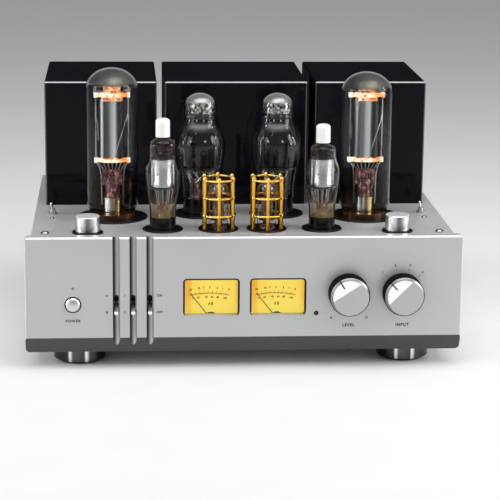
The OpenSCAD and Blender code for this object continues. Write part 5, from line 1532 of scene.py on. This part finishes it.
def finish_knob(name, body, x, lean):
    """Shows a knob and gives each of its faces the finish of its place, as painted light and shade.
    """
    mesh = knob_mesh(name, x, lean)
    # painted shade on the black side, the slant and the rim, and a painted highlight on the half
    # moon
    finishes = [coated(name + "_side", (0.003, 0.003, 0.0033), 0.5, 2400, 0.00001, 0.02),
                knob_face(name + "_moon", x, lean, (1.0, 1.0, 1.0), (0.94, 0.94, 0.95), 0.14),
                knob_face(name + "_slant", x, lean, (0.52, 0.52, 0.53), (0.44, 0.44, 0.45), 0.32),
                knob_face(name + "_rim", x, lean, (0.28, 0.28, 0.29), (0.22, 0.22, 0.23), 0.36)]
    piece(name, mesh, finishes[0], body, [body.replace("control", "knob")], "turned_aluminium")
    for finish in finishes[1:]:
        mesh.materials.append(finish)
    for face in mesh.polygons:
        away = math.hypot(face.center.x / MM - x, (PANEL_TOP - face.center.z) / MM - KNOB_DROP)
        if face.normal.y < MOON_Y:
            face.material_index = 1
        elif face.normal.y < SLANT_Y:
            face.material_index = 2
        elif face.normal.y < RIM_Y and away < KNOB_R - 0.6:
            face.material_index = 3


VOLUME_X, VOLUME_LEAN = 109.0, math.radians(33)
SELECTOR_X, SELECTOR_LEAN = 166.3, math.radians(45)
finish_knob("volume_dial_knob", "volume_control", VOLUME_X, VOLUME_LEAN)
finish_knob("selector_dial_knob", "selector_control", SELECTOR_X, SELECTOR_LEAN)

# %% [markdown]
# ## Power button, lamps and windows
#
# The button is a satin cushion that stands a few millimetres out of its hole, which is a turned
# shape. Above it is a tiny lamp, and near the volume knob are the black window of the remote
# receiver and a second lamp. They could have a finish each, but they are one node, so one finish
# tells them apart by their place.

# %% Button and small lenses
REMOTE_LEFT, REMOTE_RIGHT = 70 * MM, 79 * MM
cushion = Shape(on_panel(BUTTON_X, BUTTON_DROP)).lathe(
    [(0, -20), (3, -20), (3, -8.4), (7.7, -8.4), (7.7, 0.5), (7.62, 1.0), (7.2, 1.75),
     (6.4, 2.45), (5.2, 3.1), (3.6, 3.6), (1.8, 3.9), (0, 4)], steps=64)
piece("power_button_cap", cushion.mesh("power_button_cap", 50),
      metal("button_metal", (0.74, 0.74, 0.75), 0.36, 2600, None, 0.000006), "power_button",
      ["power_button"], "polished_metal")


def lamp_lenses():
    """Dull red on the left, amber on the right, black for the receiver."""
    f = Finish("lamp")
    patch = f.noise(900, 2.0)
    remote = (f.x > REMOTE_LEFT) * (f.x < REMOTE_RIGHT)
    red = f.mix(patch, (0.28, 0.13, 0.13), (0.36, 0.18, 0.18))
    amber = f.mix(f.x > 0, red, (0.75, 0.5, 0.36))
    return f.surface(Base_Color=f.mix(remote, amber, (0.004, 0.004, 0.004)),
                     Roughness=0.18 + 0.1 * patch)


nodes["indicator_lenses"].data.materials[0] = lamp_lenses()
print("button at", BUTTON_X, "mm")

# %% [markdown]
# ## Meters
#
# The two level meters are lit from behind through amber paper: yellow in the middle and more
# orange towards the sides, with a sharp orange strip along the left as painted shade of the
# window's left wall. A lamp behind a thin sheet could do this, but it would need many samples, so
# the dial shines by its own Emission Color, worked out from the place on the dial. The pane in
# front is clear and bends light little, so that the scale stays easy to read.

# %% Lit dials
def amber_dial():
    """Paper lit from behind, with painted shade in a strip along the left."""
    f = Finish("dial")
    across = f.across(WINDOW_PITCH / 2) / (WINDOW_W / 2)
    rise = ((f.z - PANEL_TOP) / MM + WINDOW_DROP) / (WINDOW_H / 2)
    cloud = f.noise(60, 2.0)
    paper = f.noise(2200, 2.0)
    # painted shade: the sharp orange strip at the left end of the ramp
    light = f.ramp(across * 0.5 + 0.5 + cloud * 0.03,
                   (0.0, (0.84, 0.36, 0.035)), (0.15, (0.88, 0.44, 0.05)),
                   (0.19, (0.93, 0.66, 0.1)), (0.5, (0.93, 0.73, 0.12)),
                   (0.92, (0.93, 0.69, 0.1)), (1.0, (0.88, 0.48, 0.05)))
    lower = f.mix(rise.between(0.0, -1.0) * 0.5, light, (0.88, 0.76, 0.13))
    return f.surface(Base_Color=f.mix(paper, (0.3, 0.16, 0.02), (0.36, 0.2, 0.03)),
                     Roughness=0.6 + 0.2 * paper, Specular_IOR_Level=0.2, Emission_Color=lower,
                     Emission_Strength=0.92)


def meter_lens():
    """A clear pane with faint wipe marks."""
    f = Finish("meter_lens")
    wipe = f.noise(30, 2.0)
    return f.surface(Base_Color=f.mix(wipe, (0.97, 0.97, 0.97), (1.0, 1.0, 1.0)),
                     Roughness=0.0, IOR=1.2, Transmission_Weight=1.0,
                     Normal=f.bump(wipe, 0.00001))


nodes["meter_dials"].data.materials[0] = amber_dial()
nodes["meter_lenses"].data.materials[0] = meter_lens()
needle_paint = coated("needle", (0.2, 0.07, 0.008), 0.5, 1500, 0.00001)
for side in ("left", "right"):
    nodes[side + "_meter_needle"].data.materials[0] = needle_paint
print("dial size:", WINDOW_W, "x", WINDOW_H, "mm")

# %% [markdown]
# The scale is an arc with ticks above and below it. Ticks repeat, so a tree places one bar on many
# points that all lie at the arc's centre, each turned a step further. The arc itself is made the
# same way, from short bars that touch.

# %% Scale ticks
ARC_R, ARC_X, ARC_RISE, MARK_T = 96.0, -1.5, 0.2, 0.06
DIAL_BACK = 18.5


def scale_ticks(name, count, radius, first, sweep, length, width, carrier, finish):
    """Bars around the origin of a carrier, from an angle left of upright, clockwise."""
    bars = Repeat(name, {"Count": count, "Radius": radius, "First": first,
                         "Step": -sweep / (count - 1), "Length": length, "Width": width})
    size = bars.input
    bar = bars.node("GeometryNodeMeshCube", None, {
        "Size": bars.vector(size["Width"], size["Length"], MARK_T)})
    bar = bars.moved(bar, bars.vector(y=size["Radius"], z=MARK_T / 2))
    points = bars.node("GeometryNodeMeshLine", {"mode": "OFFSET"},
                       {"Count": size["Count"], "Offset": (0.0, 0.0, 0.0)})
    order = bars.node("GeometryNodeInputIndex")
    turn = bars.vector(z=size["First"] + order * size["Step"])
    return bars.mesh(bars.instances(points, bar, turn), finish, carrier)


def dial_place(side, rise=0.0, right=0.0):
    """A carrier on the face of a dial, measured from the middle of its window."""
    front = Matrix.Translation((0, 0, -DIAL_BACK))
    return on_panel(side * WINDOW_PITCH / 2 + right, WINDOW_DROP - rise) @ front


def merged(meshes, name):
    """One mesh out of several."""
    whole = bmesh.new()
    for mesh in meshes:
        whole.from_mesh(mesh)
        bpy.data.meshes.remove(mesh)
    made = bpy.data.meshes.new(name)
    whole.to_mesh(made)
    whole.free()
    return made


dial_ink = coated("dial_ink", (0.05, 0.02, 0.003), 0.6, 1800, 0.000005, 0.1)
arc_ink = coated("arc_ink", (0.5, 0.2, 0.02), 0.6, 1800, 0.000005, 0.1)
pivot = [dial_place(side, ARC_RISE - ARC_R, ARC_X) for side in SIDES]
arc_sweep = math.radians(25)
piece("meter_arcs", merged(
    [scale_ticks("arc", 40, ARC_R, arc_sweep / 2, arc_sweep, 0.7, 1.25, carrier, arc_ink)
     for carrier in pivot], "meter_arcs"), arc_ink)
marks = []
for carrier in pivot:
    marks += [
        scale_ticks("long_ticks", 9, ARC_R + 1.5, arc_sweep * 0.45, arc_sweep * 0.85, 2.6, 0.3,
                    carrier, dial_ink),
        scale_ticks("short_ticks", 21, ARC_R - 0.9, arc_sweep * 0.45, arc_sweep * 0.9, 1.5, 0.25,
                    carrier, dial_ink)]
piece("meter_scales", merged(marks, "meter_scales"), dial_ink)

# %% [markdown]
# Numbers stand a fixed way above and below the arc. They could be drawn stroke by stroke, but
# Blender has a font of its own. A text object is turned into a mesh before it is put in place.

# %% Numbers on the dials
BODY_TO_CAPITAL, INK_T = 1.4, 0.03


def lettering(words, height, carrier, right=0.0, rise=0.0, spread=1.0, bold=0.0):
    """Thin raised letters, with capitals of the given height, centred at a place on a carrier."""
    curve = bpy.data.curves.new("words", "FONT")
    curve.body = words
    curve.size = height * BODY_TO_CAPITAL
    curve.space_character = spread
    curve.align_x, curve.align_y = "CENTER", "CENTER"
    curve.extrude = INK_T
    curve.offset = bold * height
    curve.resolution_u = 3
    host = bpy.data.objects.new("words", curve)
    bpy.context.scene.collection.objects.link(host)
    shown = host.evaluated_get(bpy.context.evaluated_depsgraph_get())
    mesh = bpy.data.meshes.new_from_object(shown)
    bpy.data.objects.remove(host)
    bpy.data.curves.remove(curve)
    mesh.transform(Matrix.Scale(MM, 4) @ carrier @ Matrix.Translation((right, rise, INK_T)))
    return mesh


UPPER = [(-21.5, "20"), (-12.5, "10"), (-7.5, "7"), (-1, "5"), (7, "3"), (13, "1"), (19.5, "0")]
LOWER = [(-19, "0"), (-13, "20"), (-4.5, "40"), (1.5, "60"), (7.5, "80"), (15, "100")]


def arc_height(right):
    """Height of the scale's arc above the middle of the window."""
    return ARC_RISE - ARC_R + math.sqrt(ARC_R ** 2 - (right - ARC_X) ** 2)


numbers = []
for side in SIDES:
    here = dial_place(side)
    numbers += [lettering(n, 2.2, here, x, arc_height(x) + 5.8, 1, 0.05) for x, n in UPPER]
    numbers += [lettering(n, 2.0, here, x, arc_height(x) - 4.4, 1, 0.05) for x, n in LOWER]
    numbers.append(lettering("dB", 3.4, here, 0, -11.6, 1.3, 0.02))
piece("meter_numbers", merged(numbers, "meter_numbers"), dial_ink)

# %% [markdown]
# A black rod runs around the top and sides of each meter window as painted shade, where the
# window's edge is in shadow, and leaves the bottom ledge bare. A frame cut from a sheet would have
# hard edges, so it is a soft rod, bent along the rounded corners of the window.

# %% Window shadow rods
SHADOW_ROD_R, CORNER, SHADOW_ROD_BACK = 1.0, 4.0, 2


def window_shadow_rod(side):
    """A rod from the lower left of a window, over its top, to the lower right."""
    shape = Shape(on_panel(side * WINDOW_PITCH / 2, WINDOW_DROP))
    half_w, half_h = WINDOW_W / 2 - SHADOW_ROD_R, WINDOW_H / 2 - SHADOW_ROD_R
    bend = CORNER - SHADOW_ROD_R
    path = [(-half_w, -half_h + bend, -SHADOW_ROD_BACK)]
    for corner, first in ((-1, math.pi), (1, math.pi / 2)):
        for i in range(7):
            turn = first - math.pi / 2 * i / 6
            path.append((corner * (half_w - bend) + bend * math.cos(turn),
                         half_h - bend + bend * math.sin(turn), -SHADOW_ROD_BACK))
    path.append((half_w, -half_h + bend, -SHADOW_ROD_BACK))
    return shape.wire(path, SHADOW_ROD_R, 12)


# painted shade: a dark rod along the top and sides of each window
pair("window_shadow_rods", window_shadow_rod, rubber)

# %% [markdown]
# ## Marks on the panel
#
# Words and numbers are printed on the panel in dark grey. A mask in the panel's finish could draw
# them, but letters have fine outlines, so they lie on the face as meshes a few hundredths of a
# millimetre thick. They cast no shadow, and never flicker against the metal.

# %% Printed marks
INK_H, CAPTION_H, POWER_H = 2.5, 3.2, 3.0
POWER_DROP, CAPTION_DROP, END_DROP = 89.6, KNOB_DROP + 35.5, KNOB_DROP + 27.5
INPUTS, INPUT_STEP, NUMBER_R, TICK_R = 4, math.radians(30), 30, 25.2
panel_ink = coated("panel_ink", (0.012, 0.012, 0.013), 0.5, 2000, 0.000004, 0.1)
TOGGLE_DROPS = (62.5, 80.5)


def printed(words, x, drop, height=INK_H, spread=1.1):
    """Words on the front panel."""
    return lettering(words, height, on_panel(x, drop), spread=spread, bold=0.045)


captions = [printed("POWER", BUTTON_X, POWER_DROP, POWER_H, 1.15),
            printed("LEVEL", VOLUME_X + 1, CAPTION_DROP, CAPTION_H, 1.15),
            printed("INPUT", SELECTOR_X + 1, CAPTION_DROP, CAPTION_H, 1.15),
            printed("0", VOLUME_X - 17.5, END_DROP), printed("10", VOLUME_X + 19.5, END_DROP)]
for i in range(INPUTS):
    turn = SELECTOR_LEAN - i * INPUT_STEP
    captions.append(printed(str(i + 1), SELECTOR_X - NUMBER_R * math.sin(turn),
                            KNOB_DROP - NUMBER_R * math.cos(turn)))
for place, labels in ((-27.5, ("A", "B")), (-9, ("1", "2")), (27.5, ("ON", "OFF"))):
    for label, drop in zip(labels, TOGGLE_DROPS):
        captions.append(printed(label, FLUTE_X + place, drop))
piece("panel_lettering", merged(captions, "panel_lettering"), panel_ink)
piece("selector_ticks", scale_ticks(
    "selector_ticks", INPUTS, TICK_R, SELECTOR_LEAN, (INPUTS - 1) * INPUT_STEP, 2.0, 0.5,
    on_panel(SELECTOR_X, KNOB_DROP), panel_ink), panel_ink)

# %% [markdown]
# ## Rear connections
#
# Loudspeaker posts are turned caps with straight knurling, so that fingers can grip them, on a
# moulded collar that keeps them off the panel. A bump could draw the ribs, but they show in the
# outline. They repeat around one axis and the caps repeat along a line, so a tree places ribs
# around a point and the ribbed set on the points of a line.

# %% Loudspeaker posts
REAR_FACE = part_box("rear_panel")[1].y
REAR_Z, POST_X, POST_PITCH, POST_COUNT = 77.0, -86.0, 24.0, 6
COMMON_POSTS = (2, 5)


def on_rear(x, z=REAR_Z):
    """A carrier on the rear panel: its x runs left to right for someone behind it."""
    turn = Matrix(((-1, 0, 0), (0, 0, 1), (0, 1, 0))).to_4x4()
    return Matrix.Translation((x, REAR_FACE / MM, z)) @ turn


def knurling():
    """The ribs of all the caps."""
    posts = Repeat("knurled_posts", {
        "Ribs": 30, "Radius": 6.45, "Rib": (1.0, 0.62, 10.4), "Middle": 13.2,
        "Posts": POST_COUNT, "Pitch": -POST_PITCH})
    size = posts.input
    rib = posts.node("GeometryNodeMeshCube", None, {"Size": size["Rib"]})
    rib = posts.moved(rib, posts.vector(x=size["Radius"], z=size["Middle"]))
    points = posts.node("GeometryNodeMeshLine", {"mode": "OFFSET"},
                        {"Count": size["Ribs"], "Offset": (0.0, 0.0, 0.0)})
    order = posts.node("GeometryNodeInputIndex")
    turn = posts.vector(z=order * (2 * math.pi) / size["Ribs"])
    row = posts.node("GeometryNodeMeshLine", {"mode": "OFFSET"},
                     {"Count": size["Posts"], "Offset": posts.vector(x=size["Pitch"])})
    ribbed = posts.instances(row, posts.instances(points, rib, turn))
    return posts.mesh(ribbed, gold, on_rear(POST_X))


CAP = [(0, -13), (3, -13), (3, 6), (6.8, 6), (7, 6.3), (7, 7.4), (6.3, 8), (6.3, 18.5), (7, 19),
       (7, 22.4), (6.2, 23.6), (3.4, 23.9), (3, 23.4), (0, 23.4)]
COLLAR = [(3.3, 0), (8, 0), (8, 2.4), (7.3, 2.8), (7.3, 5.4), (6.8, 5.9), (3.3, 5.9)]


def turned_on_rear(places, line):
    """The same line, turned at places of x and z on the rear panel. A bored one is closed."""
    return [Shape(on_rear(x, z)).lathe(line, closed=line[0][0] > 0) for x, z in places]


post_places = [(POST_X + i * POST_PITCH, REAR_Z) for i in range(POST_COUNT)]
caps = joined(turned_on_rear(post_places, CAP), "caps")
piece("knurled_posts", merged([caps, knurling()], "knurled_posts"), gold,
      stands_for=["speaker_posts"], slot="gold_plate")
red_plastic = coated("red_plastic", (0.36, 0.012, 0.01), 0.3, 1500, 0.00002)
for name, finish, common in (("black_collars", black_plastic, True),
                             ("red_collars", red_plastic, False)):
    picked = [place for i, place in enumerate(post_places) if (i in COMMON_POSTS) == common]
    piece(name, joined(turned_on_rear(picked, COLLAR), name), finish)

# %% [markdown]
# The input sockets are gilt barrels around a coloured core: white in the upper row and red in the
# lower one, as is usual for the left and right channel. One turned shape with two finishes would
# do, but barrel and core are separate parts, so they are separate pieces here too.

# %% Input sockets
JACK_X, JACK_PITCH, JACK_ROWS = 111.5, 24.0, (65.0, 89.0)
JACK_PLACES = [JACK_X + i * JACK_PITCH for i in range(INPUTS)]


def jacks(rows):
    return [(x, z) for x in JACK_PLACES for z in rows]


BARREL = [(0, -11), (3, -11), (3, 0), (6.5, 0), (6.5, 2.5), (6, 3), (4.15, 3), (4.15, 11.4),
          (3.9, 12), (3.5, 12), (3.4, 11.8), (3.4, 5.2), (0, 5.2)]
CORE = [(1.6, 5.3), (3.3, 5.3), (3.3, 10.6), (3, 10.9), (1.8, 10.9), (1.6, 10.7)]
piece("socket_barrels", joined(turned_on_rear(jacks(JACK_ROWS), BARREL), "socket_barrels"), gold,
      stands_for=["input_jacks"], slot="gold_plate")
white_plastic = coated("white_plastic", (0.7, 0.7, 0.67), 0.3, 1500, 0.00002, 0.5,
                       (0.78, 0.78, 0.75))
for name, row, finish in (("red_cores", 0, red_plastic), ("white_cores", 1, white_plastic)):
    cores = turned_on_rear(jacks([JACK_ROWS[row]]), CORE)
    piece(name, joined(cores, name), finish)

# %% [markdown]
# Plain numbers and letters tell the rear connections apart: a number for each pair of sockets, L
# and R for the channels, and the usual ohms at the posts. They are made like the words in front.

# %% Marks on the rear panel
CHANNEL_H, NUMBER_H, OHMS_Z, CHANNEL_Z = 3.4, 3.0, 91.5, 100
rear_marks = [(str(i + 1), NUMBER_H, x, REAR_Z) for i, x in enumerate(JACK_PLACES)]
rear_marks += [(word, CHANNEL_H, JACK_X - 15, z) for word, z in zip("RL", JACK_ROWS)]
rear_marks += [("840"[i % 3], NUMBER_H, x, OHMS_Z) for i, (x, z) in enumerate(post_places)]
rear_marks += [(word, CHANNEL_H, post_places[i][0], CHANNEL_Z)
               for word, i in (("R", 1), ("L", 4))]
piece("rear_lettering", merged([lettering(word, height, on_rear(x, z), bold=0.04)
                                for word, height, x, z in rear_marks], "rear_lettering"),
      panel_ink)

# %% [markdown]
# The mains inlet is moulded plastic with three bare metal pins. Pins of their own would be a second
# piece, but inlet and pins are one node, so a mask finds the pins by their place in its mouth.

# %% Mains inlet
INLET_X, PINS = -165.0, ((0, 3.5), (-7, -3.5), (7, -3.5))
PIN_HALF_W, PIN_HALF_H, PIN_OUT = 1.1, 2.1, 1.5


def inlet_plastic():
    """Black plastic with bare metal where the pins are."""
    f = Finish("mains_inlet")
    right, up, out = f.x / MM - INLET_X, f.z / MM - REAR_Z, (f.y - REAR_FACE) / MM
    pin = 0
    for x, z in PINS:
        beside, over = (right - x).math("ABSOLUTE"), (up - z).math("ABSOLUTE")
        pin = (beside < PIN_HALF_W) * (over < PIN_HALF_H) + pin
    pin = pin * (out < PIN_OUT)
    grain = f.noise(2200, 3.0)
    black = f.mix(grain, (0.012, 0.012, 0.013), (0.02, 0.02, 0.021))
    return f.surface(Base_Color=f.mix(pin, black, (0.7, 0.68, 0.6)), Metallic=pin,
                     Roughness=0.42 - 0.2 * pin, Normal=f.bump(grain, 0.00002))


nodes["mains_inlet"].data.materials[0] = inlet_plastic()
print("mains inlet at", INLET_X, "mm")
